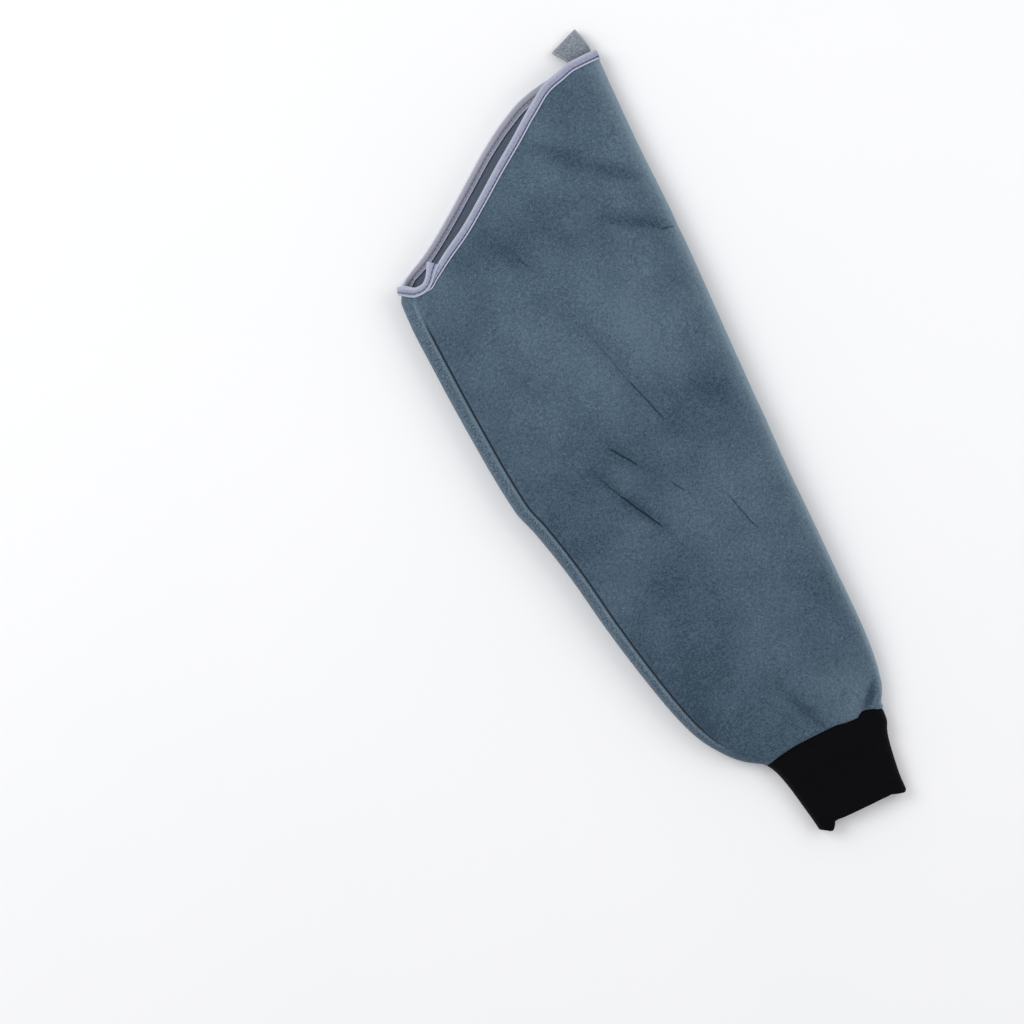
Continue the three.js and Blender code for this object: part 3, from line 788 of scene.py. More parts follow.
# The model's own origin lies under the middle of its outline, so the surfaces are moved there.
leather_box = np.array(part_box("leather_sleeve"))
made_box = np.array((outer_wall.min((0, 1)), outer_wall.max((0, 1))))
row_origin = (leather_box.mean(0) - made_box.mean(0)) * (1, 1, 0)

suede = suede_finish("split_suede", suede_colours, crease_shade_lines)
leather_faces = ring_faces(*leather_points.shape[:2])
leather = new_piece("suede_tube", leather_points, leather_faces, suede, marks=leather_marks)
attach(leather, "root")
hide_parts("leather_sleeve")


# Mouth binding
# Woven twill tape, folded over the cut edge of the mouth and sewn through both legs and the leather
# with one row of dark thread, which draws the tape in and leaves its selvedge standing.

# The folded tape, its section and how the stitches draw it in
inner_leg = 0.007
tape_edge_rounding = 0.25 * tape_thickness
leg_bulge = 0.00025
selvedge_lift = 0.00015
selvedge_width = 0.0008
stitch_down = {"front": 0.0047, "back": 0.0036}
stitch_dip = 0.00038
stitch_dip_width = 0.0006
stitch_pull_least = 0.65
tape_columns = 640
tape_steps = {"leg": 14, "nose": 10, "inside": 5}

# The thread: shares of its thickness, the share of the tape's dip that it lies in, the turns and seeds
# by which stitches differ, and its look
stitch_length = 0.0027
stitch_gap = 0.0006
thread_thickness = 0.00062
thread_arch = {"dip": 0.45, "crest": 0.6, "steps": 6, "sides": 6}
thread_stands = {"row": 0.3, "lap": 0.1, "floor": 0.6}
thread_sinks = 0.75
stitch_turns = (0.03, 0.03, 0.07)
stitch_seeds = {"outer": 4, "inner": 2, "lap": 9}
row_step = 0.001
thread_patch = 0.0009
thread_tone_reach = (0.3, 0.7)
thread_twist = 0.0004
twist_depth = 0.0001
thread_roughness = 0.6

# The tape's look: its twill, and where its selvedge, its nose with a painted highlight and its stitch line
# with painted shade lie
twill_pitch = 0.0011
tape_patches = {"fuzz": 0.0012, "cloud": 0.02}
tape_tones = {"twill": 0.4, "fuzz": 1.6, "cloud": 0.5}
tape_tone_reach = (0.1, 0.9)
nose_highlight_reach = 0.002
nose_highlight_share = 0.7
tape_marks_at = {"selvedge": (0.0005, 0.0013), "valley": (0.0002, 0.0008), "above": (-0.0004, 0.0012)}
stitch_shade_share = {"outer": 0.85, "inner": 0.45}
far_from_stitches = 0.01
twill_relief = {"twill": 0.4, "fuzz": 0.6}
twill_depth = 0.0002
tape_roughness = 0.85
tape_sheen = {"Sheen Weight": 0.2, "Sheen Roughness": 0.5, "Specular IOR Level": 0.2}

tape_colours = {
    "main": paint(164, 168, 189),
    "shade": paint(129, 134, 159),
    "selvedge": paint(182, 189, 207),
    "nose": paint(182, 187, 203),
    "valley": paint(98, 101, 138),
    "inside": paint(172, 171, 183),
    "thread": paint(48, 50, 90),
    "thread_light": paint(70, 72, 114),
    "bobbin": paint(98, 100, 130),
    "bobbin_light": paint(120, 121, 148),
}


def stitch_place(turn):
    """How far down from the mouth's edge the row of stitches is, further on the front than behind."""
    level = place_round(turn)[1]
    return mix(stitch_down["back"], stitch_down["front"], (level + 1) / 2)


def leg_lift(down, stitches, edge, pucker):
    """How far a leg of the tape stands off its flat place: full above the stitches, drawn in at them."""
    bulge = leg_bulge * np.sin(np.pi * np.clip(down / stitches, 0, 1))
    dip = stitch_dip * pucker * np.exp(-((down - stitches) / stitch_dip_width) ** 2)
    lift = selvedge_lift * np.exp(-((down - edge) / selvedge_width) ** 2)
    return bulge + lift - dip


def run_length(points):
    """The distance along a closed row of points, with the whole length as the last value."""
    steps = np.linalg.norm(np.roll(points, -1, axis=0) - points, axis=-1)
    return np.concatenate(((0,), np.cumsum(steps)))


def tape_section():
    """The folded tape's section, as places down from the mouth's edge and out from the leather, and the
    face that each one is on: 1 on the outer leg's, -1 on the inner leg's, 0 elsewhere."""
    share = np.linspace(1, 0, tape_steps["leg"] + 1)[:-1]
    nose = np.linspace(0, math.pi, tape_steps["nose"] + 1)
    inside = np.linspace(math.pi, 0, tape_steps["inside"] + 1)
    half, inner_half = leather_thickness / 2 + binding_stack, leather_thickness / 2 + join_gap
    middle = -leather_thickness / 2
    outer, inner = share * binding_width, share[::-1] * inner_leg
    edge_out = join_gap + np.array((0, tape_thickness / 2))
    stretches = (
        (outer, outer * 0 + binding_stack, 1),
        (-binding_stack * np.sin(nose), middle + half * np.cos(nose), 0),
        (inner, inner * 0 - leather_thickness - binding_stack, -1),
        (np.array((inner_leg + tape_edge_rounding, inner_leg)), -leather_thickness - edge_out[::-1], 0),
        (-join_gap * np.sin(inside), middle + inner_half * np.cos(inside), 0),
        (np.array((binding_width, binding_width + tape_edge_rounding)), edge_out, 0),
    )
    down = np.concatenate([stretch[0] for stretch in stretches])
    out = np.concatenate([stretch[1] for stretch in stretches])
    face = np.concatenate([np.full(len(stretch[0]), stretch[2]) for stretch in stretches])
    return down, out, face


def twill_finish(name):
    """Twill tape with a pale selvedge, a painted highlight on its folded nose, painted shade along its
    stitches, and a greyer colour on the inner leg above the stitches, painted for the shade inside the mouth.
    The marks on its points are the distances from the selvedge and from the stitches, and 1 on the inner leg."""
    finish, place = new_finish(name)
    weave = place.node("ShaderNodeUVMap", {"uv_map": "weave"})
    along, across = weave.parts()[:2]
    twill = 0.5 + 0.5 * ((along + across) * (math.tau / twill_pitch)).math("SINE")
    marks = place.node("ShaderNodeAttribute", {"attribute_name": "tape"}, out="Vector")
    from_selvedge, from_stitches, inner = marks.parts()
    fuzz = noise(place, tape_patches["fuzz"], detail=3, roughness=0.7)
    cloud = noise(place, tape_patches["cloud"], detail=3)
    tone = 0.5 + (twill - 0.5) * tape_tones["twill"] + (fuzz - 0.5) * tape_tones["fuzz"]
    tone = tone + (cloud - 0.5) * tape_tones["cloud"]
    colour = tone.ease(*tape_tone_reach).blend(tape_colours["shade"], tape_colours["main"])
    # A greyer copy of the tape colour, painted on the inner leg above the stitches to stand in for its look
    # in the shade inside the mouth
    above = inner * (1 - from_stitches.ease(*tape_marks_at["above"]))
    colour = above.blend(colour, tape_colours["inside"])
    # Painted highlight on the folded nose of the outer leg
    nose = from_selvedge.ease(binding_width - nose_highlight_reach, binding_width) * (1 - inner)
    colour = (nose * nose_highlight_share).blend(colour, tape_colours["nose"])
    edge = 1 - from_selvedge.ease(*tape_marks_at["selvedge"])
    colour = edge.blend(colour, tape_colours["selvedge"])
    # Painted shade in the valley that the stitches draw in
    line = 1 - abs(from_stitches).ease(*tape_marks_at["valley"])
    line = line * mix(stitch_shade_share["outer"], stitch_shade_share["inner"], inner)
    colour = line.blend(colour, tape_colours["valley"])
    relief = twill * twill_relief["twill"] + fuzz * twill_relief["fuzz"]
    finish_surface(place, colour, tape_roughness, relief, twill_depth, tape_sheen)
    return finish


def new_geometry_tree(name, inputs):
    """An empty tree with named inputs, and the wire of each one."""
    tree = bpy.data.node_groups.new(name, "GeometryNodeTree")
    tree.interface.new_socket("Geometry", in_out="OUTPUT", socket_type="NodeSocketGeometry")
    for label, kind in {"Geometry": "Geometry", **inputs}.items():
        tree.interface.new_socket(label, in_out="INPUT", socket_type="NodeSocket" + kind)
    group = tree.nodes.new("NodeGroupInput")
    return tree, {socket.name: Wire(tree, socket) for socket in group.outputs if socket.name}


def close_geometry_tree(shape, finish):
    """Ends a tree in plain mesh with its material."""
    real = shape.node("GeometryNodeRealizeInstances", sockets={"Geometry": shape})
    smooth = shape.node("GeometryNodeSetShadeSmooth", sockets={"Geometry": real})
    coated = shape.node("GeometryNodeSetMaterial", sockets={"Geometry": smooth, "Material": finish})
    shape.node("NodeGroupOutput", sockets={"Geometry": coated})


def run_tree(piece, tree, values):
    """Runs a tree on a piece with these inputs and keeps the result as the piece's own plain mesh."""
    modifier = piece.modifiers.new(tree.name, "NODES")
    modifier.node_group = tree
    for item in tree.interface.items_tree:
        if item.in_out == "INPUT" and item.name in values:
            modifier[item.identifier] = values[item.name]
    made = piece.evaluated_get(bpy.context.evaluated_depsgraph_get())
    mesh = bpy.data.meshes.new_from_object(made)
    piece.modifiers.clear()
    piece.data = mesh


def make_stitch_tree():
    """A row of stitches along a line of vertices: each one a short arched thread whose ends dip in."""
    inputs = {"Stitch Length": "Float", "Stitch Gap": "Float", "Thread": "Float"}
    tree, given = new_geometry_tree("stitch_row", {**inputs, "Seed": "Int", "Finish": "Material"})
    length, gap, thread = given["Stitch Length"], given["Stitch Gap"], given["Thread"]
    start = given["Geometry"]
    line = start.node("GeometryNodeMeshToCurve", sockets={"Mesh": start})
    spaced = {"Curve": line, "Length": length + gap}
    spots = line.node("GeometryNodeResampleCurve", {"mode": "LENGTH"}, spaced)
    tangent = line.node("GeometryNodeInputTangent")
    as_vector = {"data_type": "FLOAT_VECTOR"}
    lift = line.node("GeometryNodeInputNamedAttribute", as_vector, {"Name": "lift"})
    lying = line.node("FunctionNodeAlignRotationToVector", {"axis": "X"}, {"Vector": tangent})
    facing = {"axis": "Z", "pivot_axis": "X"}
    turned = line.node("FunctionNodeAlignRotationToVector", facing, {"Rotation": lying, "Vector": lift})
    half, dip = length * 0.5, thread * -thread_arch["dip"]
    ends = [line.node("ShaderNodeCombineXYZ", sockets={"X": x, "Z": dip}) for x in (half * -1, half)]
    top = line.node("ShaderNodeCombineXYZ", sockets={"Z": thread * thread_arch["crest"]})
    arch = {"Resolution": thread_arch["steps"], "Start": ends[0], "Middle": top, "End": ends[1]}
    arch = line.node("GeometryNodeCurveQuadraticBezier", sockets=arch)
    section = {"Resolution": thread_arch["sides"], "Radius": thread * 0.5}
    section = line.node("GeometryNodeCurvePrimitiveCircle", {"mode": "RADIUS"}, section)
    tube = {"Curve": arch, "Profile Curve": section, "Fill Caps": True}
    tube = line.node("GeometryNodeCurveToMesh", sockets=tube)
    laid = {"Points": spots, "Instance": tube, "Rotation": turned}
    laid = line.node("GeometryNodeInstanceOnPoints", sockets=laid)
    least = tuple(-turn for turn in stitch_turns)
    unrest = {"Min": least, "Max": stitch_turns, "Seed": given["Seed"]}
    unrest = line.node("FunctionNodeRandomValue", as_vector, unrest)
    laid = line.node("GeometryNodeRotateInstances", sockets={"Instances": laid, "Rotation": unrest})
    close_geometry_tree(laid, given["Finish"])
    return tree


def thread_of(name, dark, light):
    """Spun thread, a little uneven in tone."""
    finish, place = new_finish(name)
    tone = noise(place, thread_patch, detail=2).ease(*thread_tone_reach).blend(dark, light)
    finish_surface(place, tone, thread_roughness, noise(place, thread_twist, detail=1), twist_depth)
    return finish


def new_stitches(name, points, normals, seed, thread, closed=False):
    """A row of stitches over a line of points on a surface, as one plain piece."""
    count = len(points)
    links = [(i, (i + 1) % count) for i in range(count if closed else count - 1)]
    mesh = bpy.data.meshes.new(name)
    mesh.from_pydata((points + row_origin).tolist(), links, [])
    lift = mesh.attributes.new("lift", "FLOAT_VECTOR", "POINT")
    lift.data.foreach_set("vector", normals.astype(np.float32).ravel())
    piece = bpy.data.objects.new(name, mesh)
    bpy.context.collection.objects.link(piece)
    values = {"Stitch Length": stitch_length, "Stitch Gap": stitch_gap, "Thread": thread_thickness}
    run_tree(piece, stitch_tree, {**values, "Seed": seed, "Finish": thread})
    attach(piece, "root")
    return piece


needle_thread = thread_of("needle_thread", tape_colours["thread"], tape_colours["thread_light"])
bobbin_thread = thread_of("bobbin_thread", tape_colours["bobbin"], tape_colours["bobbin_light"])

tape_turns = np.arange(tape_columns) * 4 / tape_columns
tape_edge = band_point(tape_turns, np.array([0.0]), np.array([binding_stack]))[:, 0]
tape_run = run_length(tape_edge)
tape_stitches = stitch_place(tape_turns)[:, None]
section_down, section_out, section_face = tape_section()
section_leg = np.where(section_out < -leather_thickness / 2, inner_leg, binding_width)
stitch_share = 0.5 - 0.5 * np.cos(math.tau * tape_run[:-1] / (stitch_length + stitch_gap))
stitch_pull = mix(stitch_pull_least, 1, stitch_share)[:, None]
tape_lift = leg_lift(section_down, tape_stitches, section_leg, stitch_pull)
tape_points = band_point(tape_turns, section_down, section_out + section_face * tape_lift)
tape_points[..., 2] = np.maximum(tape_points[..., 2], 0)
section_leg = np.where(section_down < 0, binding_width, section_leg)
selvedge_place = np.maximum(section_leg - section_down, 0)
tape_uv = ring_uv(tape_run, np.append(selvedge_place, selvedge_place[0]))
off_face = far_from_stitches * (section_face == 0)
from_stitches = section_down - tape_stitches + off_face
on_inner_leg = ((section_out < -leather_thickness / 2) & (section_down >= 0)) * 1.0
tape_marks = np.stack(np.broadcast_arrays(selvedge_place, from_stitches, on_inner_leg), -1)

stitch_tree = make_stitch_tree()
tape = twill_finish("twill_tape")
tape_faces = ring_faces(*tape_points.shape[:2])
binding = new_piece("mouth_tape", tape_points, tape_faces, tape, tape_uv, {"tape": tape_marks})
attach(binding, "root")
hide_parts("mouth_binding")

stitch_out = binding_stack - stitch_dip * thread_sinks + thread_thickness * thread_stands["row"]
tape_faces_sewn = (
    ("outer", 1, stitch_out, needle_thread),
    ("inner", -1, -leather_thickness - stitch_out, bobbin_thread),
)
for row_name, side, out, thread in tape_faces_sewn:
    row = band_point(tape_turns, tape_stitches, np.array([out]))[:, 0]
    beside = band_point(tape_turns, tape_stitches, np.array([out + side * row_step]))[:, 0]
    row_lift = (beside - row) / row_step
    row[:, 2] = np.maximum(row[:, 2], thread_thickness * thread_stands["floor"])
    seed = stitch_seeds[row_name]
    new_stitches("stitches_" + row_name, row, row_lift, seed, thread, closed=True)


# Lapped end
# The tape's last stretch comes round the seam corner on top of its start, turns up a little past the
# mouth and is cut off square. Its own stitches run down its middle.
lap_length = 0.033
lap_rise = {"low": 0.0055, "high": 0.0071}
lap_set_back = 0.0072
lap_columns = 90
lap_rows = 14
lap_bulge = 0.00035
lap_stitch_share = 0.34
lap_stitch_dip = 0.00028
lap_dip_width = 0.06
lap_seam_share = 0.4

front_width = upper_arm_width - seam_reach - fold_reach
lap_share = np.linspace(-lap_seam_share, 1, lap_columns)
lap_front = np.clip(lap_share, 0, 1)
lap_round = np.clip(-lap_share / lap_seam_share, 0, 1)
lap_low = np.where(lap_share < 0, 4 - 0.5 * lap_round, lap_front * (lap_length - seam_reach) / front_width)
lap_high = lap_front * (lap_length - seam_reach - lap_set_back) / front_width
lap_high = np.where(lap_share < 0, lap_low, lap_high)
lap_eased = smooth_step(lap_front, 0, 1)[:, None]
lap_lift = {edge: rise * lap_eased for edge, rise in lap_rise.items()}
lap_bottom = binding_stack + join_gap


def lap_face(out, height):
    """Points over the lap from its low edge to its high one, at a distance from the leather."""
    low = band_point(lap_low, binding_width - lap_lift["low"], out + 0 * lap_eased)
    high = band_point(lap_high, -binding_stack - lap_lift["high"], out + 0 * lap_eased)
    share = height[None, :, None]
    normal = band_frames(lap_low)[1][1][:, None]
    dip = lap_stitch_dip * np.exp(-((height - lap_stitch_share) / lap_dip_width) ** 2)
    crest = lap_bulge * np.sin(np.pi * height) - dip
    return mix(low, high, share) + normal * (crest * (out > lap_bottom))[None, :, None]


lap_height = np.linspace(0, 1, lap_rows)
lap_top = lap_face(lap_bottom + tape_thickness, lap_height)
lap_under = lap_face(lap_bottom, lap_height)
lap_middle = lap_face(lap_bottom + tape_thickness / 2, np.array([0.0, 1.0]))
lap_width = binding_width + binding_stack
lap_out = (lap_middle[:, :1] - lap_middle[:, 1:]) / lap_width * tape_edge_rounding
lap_sides = (lap_middle[:, 1:] - lap_out, lap_middle[:, :1] + lap_out)
lap_points = np.concatenate((lap_top, lap_sides[0], lap_under[:, ::-1], lap_sides[1]), 1)
lap_size = lap_points.shape[1]
lap_faces = ring_faces(lap_columns, lap_size, closed=False)
lap_run = np.concatenate(((0,), np.cumsum(np.linalg.norm(np.diff(lap_top[:, 0], axis=0), axis=-1))))
lap_place = np.concatenate((lap_height, [1], lap_height[::-1], [0])) * lap_width
lap_uv = ring_uv(lap_run, np.append(lap_place, 0))
lap_from_stitches = lap_place - lap_stitch_share * lap_width
lap_marks = np.stack((lap_place, lap_from_stitches, lap_place * 0), -1)
lap_marks = np.broadcast_to(lap_marks, lap_points.shape)


def close_ends(faces, uv, columns, size):
    """Adds a fan over each end of an open row of profiles."""
    spots = np.arange(1, size - 1)
    last = (columns - 1) * size
    first = np.stack((0 * spots, spots, spots + 1), -1)
    end = np.stack((last + 0 * spots, last + spots + 1, last + spots), -1)
    corners = faces.tolist() + first.tolist() + end.tolist()
    pairs = np.concatenate((uv.reshape(-1, 2), np.zeros((2 * 3 * len(spots), 2))))
    return corners, pairs


lap_corners, lap_pairs = close_ends(lap_faces, lap_uv, lap_columns, lap_size)
lap = new_piece("tape_end", lap_points, lap_corners, tape, lap_pairs, {"tape": lap_marks})
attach(lap, "root")
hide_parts("binding_lap")

lap_line_out = lap_bottom + tape_thickness + thread_thickness * thread_stands["lap"]
lap_line = lap_face(lap_line_out, np.array([lap_stitch_share]))[:, 0]
lap_normal = band_frames(lap_low)[1][1]
new_stitches("stitches_lap", lap_line, lap_normal, stitch_seeds["lap"], needle_thread)


# Hanging loop
# A short strip of grey split leather, folded double and caught inside the mouth beside the fold. Past
# the mouth it droops towards the table.

# The strip, its bend and its droop
loop_width = 0.020
loop_length = 0.024
loop_thickness = 0.0013
loop_opening = 0.0024
loop_ply_gap = 0.00006
loop_sewn_share = 0.3
loop_droop = 0.0036
loop_seat_limit = 0.97
loop_side_rounding = 0.0004

# Its place in the mouth, beside the middle of the fold
fold_turn = 1.5
loop_turn = math.radians(18)
loop_from_fold = 0.057
loop_root_depth = 0.006

# Steps of its mesh, where its edges are paler, and where shade is painted by its root
loop_columns = 22
loop_steps = 70
loop_bend_steps = 16
loop_pale_edge = 0.9
loop_shade = (0.25, 0.5)

# The loop seen from above, from its root (0) to its folded end (1): its two edges beside its centre
# line, as shares of its width.
loop_edges = Table(
    "along seam_edge fold_edge",
    (0, -0.31, 0.31),
    (0.25, -0.29, 0.56),
    (0.42, -0.28, 0.62),
    (1, -0.44, 0.7),
)

loop_colours = {
    "dark": paint(88, 97, 108),
    "main": paint(118, 126, 137),
    "light": paint(148, 154, 162),
    "rim": paint(172, 175, 179),
    "groove": paint(60, 68, 78),
    "lining": paint(108, 116, 124),
}


def loop_seat(x, y):
    """The height inside the mouth, beside the fold, that the loop lies on."""
    edge = float(mouth_y(np.array(fold_turn)))
    seam, fold, height = (float(value) for value in leather_edges(np.array(edge)))
    stack = leather_thickness + binding_stack + 2 * join_gap
    middle = binding_stack + height * edge_level
    reach = (fold - seam) * fold_reach / upper_arm_width - stack
    share = np.clip((x - fold + stack + reach) / reach, 0, loop_seat_limit)
    seat = middle - (middle - binding_stack - stack) * np.sqrt(1 - share * share)
    past = smooth_step(y - edge, binding_stack + tape_thickness, loop_length)
    return seat - np.minimum(loop_droop, seat - join_gap) * past


def loop_path():
    """The strip's middle line from the side, out along the lower ply, round the bend and back: places
    along and up, and the way up from the strip's inner face."""
    half = loop_thickness / 2
    radius = loop_thickness + loop_opening / 2 - half
    bend = loop_length - radius - half
    sewn = loop_length * loop_sewn_share
    out_along = np.linspace(0, bend, (loop_steps - loop_bend_steps) // 2)
    angle = np.linspace(-math.pi / 2, math.pi / 2, loop_bend_steps + 2)[1:-1]
    back_along = out_along[::-1]
    opening = loop_opening * np.clip((back_along - sewn) / (bend - sewn), 0, 1)
    opening = opening + loop_ply_gap
    along = np.concatenate((out_along, bend + radius * np.cos(angle), back_along))
    up_bend = half + radius + radius * np.sin(angle)
    up = np.concatenate((out_along * 0 + half, up_bend, half + loop_thickness + opening))
    return along, up


loop_along, loop_up = loop_path()
loop_way = np.gradient(np.stack((loop_along, loop_up), -1), axis=0)
loop_way = loop_way / np.linalg.norm(loop_way, axis=-1, keepdims=True)
loop_inward = np.stack((-loop_way[:, 1], loop_way[:, 0]), -1)
loop_across = np.linspace(0, 1, loop_columns)
section_across = np.concatenate((loop_across, [1], loop_across[::-1], [0]))
section_in = np.concatenate((loop_across * 0 - 0.5, [0], loop_across * 0 + 0.5, [0])) * loop_thickness
section_beyond = np.concatenate((loop_across * 0, [1], loop_across * 0, [-1])) * loop_side_rounding
loop_place = loop_along[:, None] + loop_inward[:, :1] * section_in
loop_height = loop_up[:, None] + loop_inward[:, 1:] * section_in
seam_edge = loop_edges("seam_edge", loop_place / loop_length)
fold_edge = loop_edges("fold_edge", loop_place / loop_length)
loop_beside = loop_width * mix(seam_edge, fold_edge, section_across) + section_beyond
mouth_edge = float(mouth_y(np.array(fold_turn)))
loop_root_x = float(leather_edges(np.array(mouth_edge))[1]) - loop_from_fold * upper_arm_width
loop_x = loop_root_x - loop_place * math.sin(loop_turn) + loop_beside * math.cos(loop_turn)
loop_y = mouth_edge - loop_root_depth + loop_place * math.cos(loop_turn) + loop_beside * math.sin(loop_turn)
loop_points = np.stack((loop_x, loop_y, loop_seat(loop_x, loop_y) + loop_height), -1)
loop_size = loop_points.shape[1]
loop_faces = ring_faces(len(loop_along), loop_size, closed=False)
loop_uv = np.zeros((len(loop_faces), 4, 2))
loop_corners = close_ends(loop_faces, loop_uv, len(loop_along), loop_size)[0]
cut_edge = np.broadcast_to(np.abs(section_across - 0.5) * 2, loop_x.shape)
# Painted shade by the loop's root, where it goes under the tape
in_shade = 1 - smooth_step(loop_place / loop_length, *loop_shade)
loop_marks = {
    "seam": np.zeros_like(loop_points),
    "highlight_shade_lining": np.stack((smooth_step(cut_edge, loop_pale_edge, 1), in_shade, 0 * cut_edge), -1),
}
loop_leather = suede_finish("grey_split", loop_colours)
loop = new_piece("strap_loop", loop_points, loop_corners, loop_leather, marks=loop_marks)
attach(loop, "root")
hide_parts("hang_loop")


# Knitted cuff
# A tube of fine double rib knit, turned over at the hem, with its other end sewn inside the leather. Its
# ribs run along the arm, and its own closing seam shows as a faint line near the fold.

# The knit, its hem and its ribs
cuff_tuck = 0.007
hem_width = 0.067
hem_height = 0.014
hem_roundness = 0.6
knit_thickness = 0.0026
rib_pitch = 0.0021
rib_depth = 0.00016
rib_shares = {"outside": 1, "lining": 0.6, "hem": 0.8}
closing_seam = {"across": 0.83, "width": 0.0016, "depth": 0.0004}

# Steps of the mesh, and the ring at a share of the cuff's length on which its columns are evened out
columns_per_rib = 6
cuff_rows = 66
cuff_lining_rows = 30
hem_steps = 7
ring_steps = 2000
ring_height = 0.3

# The knit's look: chains of loops along the ribs, rib crests painted paler as a highlight and valleys darker
# as shade, fuzz, and lint on the crests
loop_pitch = 0.0014
chain_slant = 1.6
knit_patches = {"fuzz": 0.0008, "cloud": 0.03}
knit_tones = {"ground": 0.1, "crest": 0.25, "loops": 0.12, "fuzz": 0.4, "cloud": 0.3}
knit_tone_reach = 0.8
lint_reach = (0.68, 0.82)
knit_roughness = 0.9
knit_relief_depth = 0.0003
knit_sheen = {"Sheen Weight": 0.03, "Sheen Roughness": 0.4, "Specular IOR Level": 0.08}

cuff_outline = Table(
    "along seam_swell fold_swell lift",
    (0, 0, 0, 0),
    (0.16, 0.08, 0.06, 0),
    (0.4, 0.25, 0.27, 0),
    (0.6, 0.4, 0.5, 0.05),
    (0.7, 0.5, 0.68, 0.6),
    (0.8, 0.62, 0.93, 1),
    (0.9, 0.8, 1, 1),
    (0.97, 1, 1, 1),
)

# The hem's edge across the cuff, as a share of its length, with the knit's tucked corner near the seam
hem_line = Table(
    "across rise",
    (0, 0.045),
    (0.05, 0.015),
    (0.11, -0.018),
    (0.15, 0.01),
    (0.195, 0.066),
    (0.3, 0.055),
    (0.5, 0.043),
    (0.8, 0.03),
    (0.93, -0.008),
    (0.985, -0.02),
    (1, -0.01),
)

knit_colours = {
    "valley": paint(5, 5, 8),
    "rib": paint(13, 12, 18),
    "lint": paint(22, 21, 30),
}


def cuff_point(turn, y):
    """A point on the outside of the cuff, from the hem's section to the wrist opening's."""
    across, level = place_round(turn)
    along = y / cuff_length
    swell = mix(cuff_outline("seam_swell", along), cuff_outline("fold_swell", along), across)
    lift = cuff_outline("lift", along)
    opening_y = cuff_length * (1 + float(wrist_line("rise", np.array(1.0)))) + 0 * across
    opening = leather_point(turn, opening_y)
    step = slope_steps["turn"]
    around = leather_point(turn + step, opening_y) - leather_point(turn - step, opening_y)
    around = around / np.linalg.norm(around, axis=-1, keepdims=True)
    inset = leather_thickness + join_gap
    wrist_x = opening[..., 0] + inset * around[..., 2]
    wrist_z = opening[..., 2] - inset * around[..., 0]
    tucked = smooth_step(y - wrist_y(turn), 0, press_start) * np.maximum(level, 0)
    wrist_z = wrist_z - tucked * press_of(across, (y - cuff_length) / fold_side_length)
    hem_x = (across - 0.5) * hem_width
    hem_z = hem_height * (level + 1) / 2
    return np.stack((mix(hem_x, wrist_x, swell), y + 0 * across, mix(hem_z, wrist_z, lift)), -1)


def even_turns(rib_count):
    """Turns at equal distances round the hem, a few to each rib."""
    close = np.linspace(0, 4, ring_steps)
    ring = cuff_point(close, np.full_like(close, ring_height * cuff_length))
    run = np.concatenate(((0,), np.cumsum(np.linalg.norm(np.diff(ring, axis=0), axis=-1))))
    count = rib_count * columns_per_rib
    return np.interp(np.arange(count) / count * run[-1], run, close)


def make_rib_tree():
    """Presses the valleys between ribs, and the closing seam, into a piece along its normals."""
    inputs = {"Rib Count": "Int", "Rib Depth": "Float", "Seam Depth": "Float", "Finish": "Material"}
    tree, given = new_geometry_tree("rib_knit", inputs)
    start = given["Geometry"]
    rib = start.node("GeometryNodeInputNamedAttribute", {"data_type": "FLOAT_VECTOR"}, {"Name": "rib"})
    place, share, seam = rib.parts()
    turn = place * given["Rib Count"] * math.tau
    valley = (0.5 - 0.5 * turn.math("COSINE")) * given["Rib Depth"] * share
    sunk = (valley + seam * given["Seam Depth"]) * -1
    normal = start.node("GeometryNodeInputNormal")
    scaled = {"Vector": normal, "Scale": sunk}
    offset = start.node("ShaderNodeVectorMath", {"operation": "SCALE"}, scaled, out="Vector")
    pressed = start.node("GeometryNodeSetPosition", sockets={"Geometry": start, "Offset": offset})
    close_geometry_tree(pressed, given["Finish"])
    return tree


hem_girth = 2 * (hem_width + hem_roundness * hem_height)
rib_count = round(hem_girth / rib_pitch)
cuff_turns = even_turns(rib_count)[:, None]
cuff_across, cuff_level = place_round(cuff_turns)
hem_radius = knit_thickness / 2
hem_y = cuff_length * hem_line("rise", cuff_across) + hem_radius


def cuff_face(row_count, out):
    rows = np.linspace(0, 1, row_count)[None, :]
    point, normal = frame_at(cuff_point, cuff_turns, mix(hem_y, cuff_length + cuff_tuck, rows))[:2]
    return point + normal * out


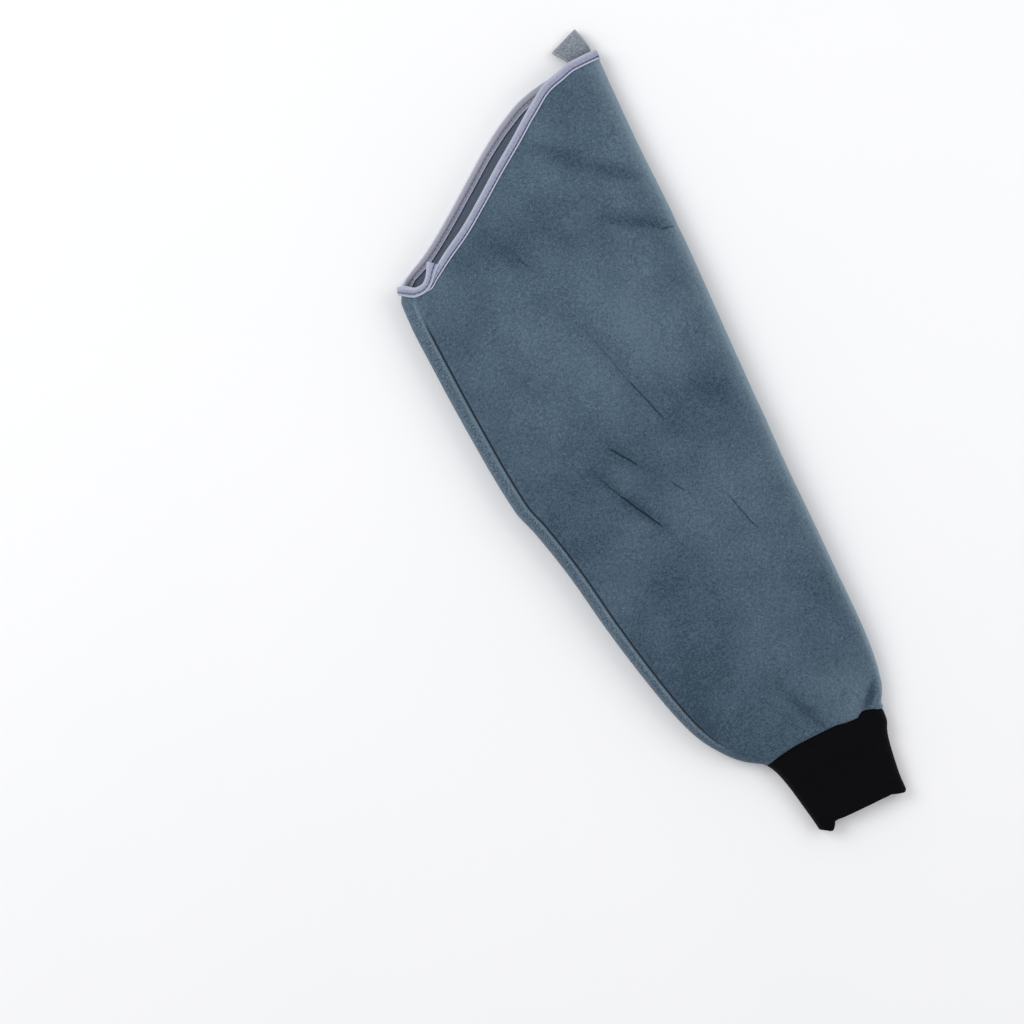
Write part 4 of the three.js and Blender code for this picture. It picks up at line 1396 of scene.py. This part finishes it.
cuff_outside = cuff_face(cuff_rows, 0)
cuff_inside = cuff_face(cuff_lining_rows, -knit_thickness)
hem_point, hem_normal, hem_run = frame_at(cuff_point, cuff_turns, hem_y)
hem_angle = (np.arange(1, hem_steps) / hem_steps * math.pi)[None, :, None]
hem_turned = hem_point - hem_radius * (hem_normal * (1 + np.cos(hem_angle)) + hem_run * np.sin(hem_angle))
cuff_points = np.concatenate((cuff_outside, cuff_inside[:, ::-1], hem_turned), 1)
rib_place = np.broadcast_to((np.arange(len(cuff_turns)) / len(cuff_turns))[:, None], cuff_points.shape[:2])
rib_rows = {"outside": cuff_rows, "lining": cuff_lining_rows, "hem": hem_steps - 1}
rib_share = np.concatenate([np.full(count, rib_shares[face]) for face, count in rib_rows.items()])
seam_reach_here = (cuff_across - closing_seam["across"]) * hem_width / closing_seam["width"]
seam_here = np.exp(-seam_reach_here**2) * (cuff_level > 0.5)
cuff_marks = {"rib": np.stack(np.broadcast_arrays(rib_place, rib_share[None, :], seam_here), -1)}
cuff_place = np.append(cuff_points[..., 1], cuff_points[:, :1, 1], axis=1)
cuff_place = np.append(cuff_place, cuff_place[:1], axis=0)
cuff_uv = ring_uv(np.arange(len(cuff_turns) + 1) / columns_per_rib, cuff_place)


def knit_finish(name):
    """Black rib knit: a chain of small loops along each rib, crests painted paler as a highlight and valleys
    darker as shade, a little lint on the crests.
    """
    finish, place = new_finish(name)
    weave = place.node("ShaderNodeUVMap", {"uv_map": "weave"})
    rib, along = weave.parts()[:2]
    crest = 0.5 + 0.5 * (rib * math.tau).math("COSINE")
    slant = abs((rib + 0.5).math("FRACT") - 0.5)
    chain = (along / loop_pitch + slant * chain_slant) * math.tau
    loops = 0.5 + 0.5 * chain.math("SINE")
    fuzz = noise(place, knit_patches["fuzz"], detail=3, roughness=0.7)
    cloud = noise(place, knit_patches["cloud"], detail=2)
    # Painted highlight on the rib crests, and painted shade in the valleys between them
    tone = knit_tones["ground"] + crest * knit_tones["crest"] + loops * knit_tones["loops"]
    tone = tone + (fuzz - 0.5) * knit_tones["fuzz"] + (cloud - 0.5) * knit_tones["cloud"]
    colour = tone.ease(0, knit_tone_reach).blend(knit_colours["valley"], knit_colours["rib"])
    colour = fuzz.ease(*lint_reach).blend(colour, knit_colours["lint"])
    relief = loops * 0.5 + fuzz * 0.5
    finish_surface(place, colour, knit_roughness, relief, knit_relief_depth, knit_sheen)
    return finish


rib_knit = knit_finish("rib_knit")
cuff = new_piece("knit_tube", cuff_points, ring_faces(*cuff_points.shape[:2]), rib_knit, cuff_uv, cuff_marks)
rib_values = {"Rib Count": rib_count, "Rib Depth": rib_depth, "Seam Depth": closing_seam["depth"]}
run_tree(cuff, make_rib_tree(), {**rib_values, "Finish": rib_knit})
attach(cuff, "root")
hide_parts("knit_cuff")
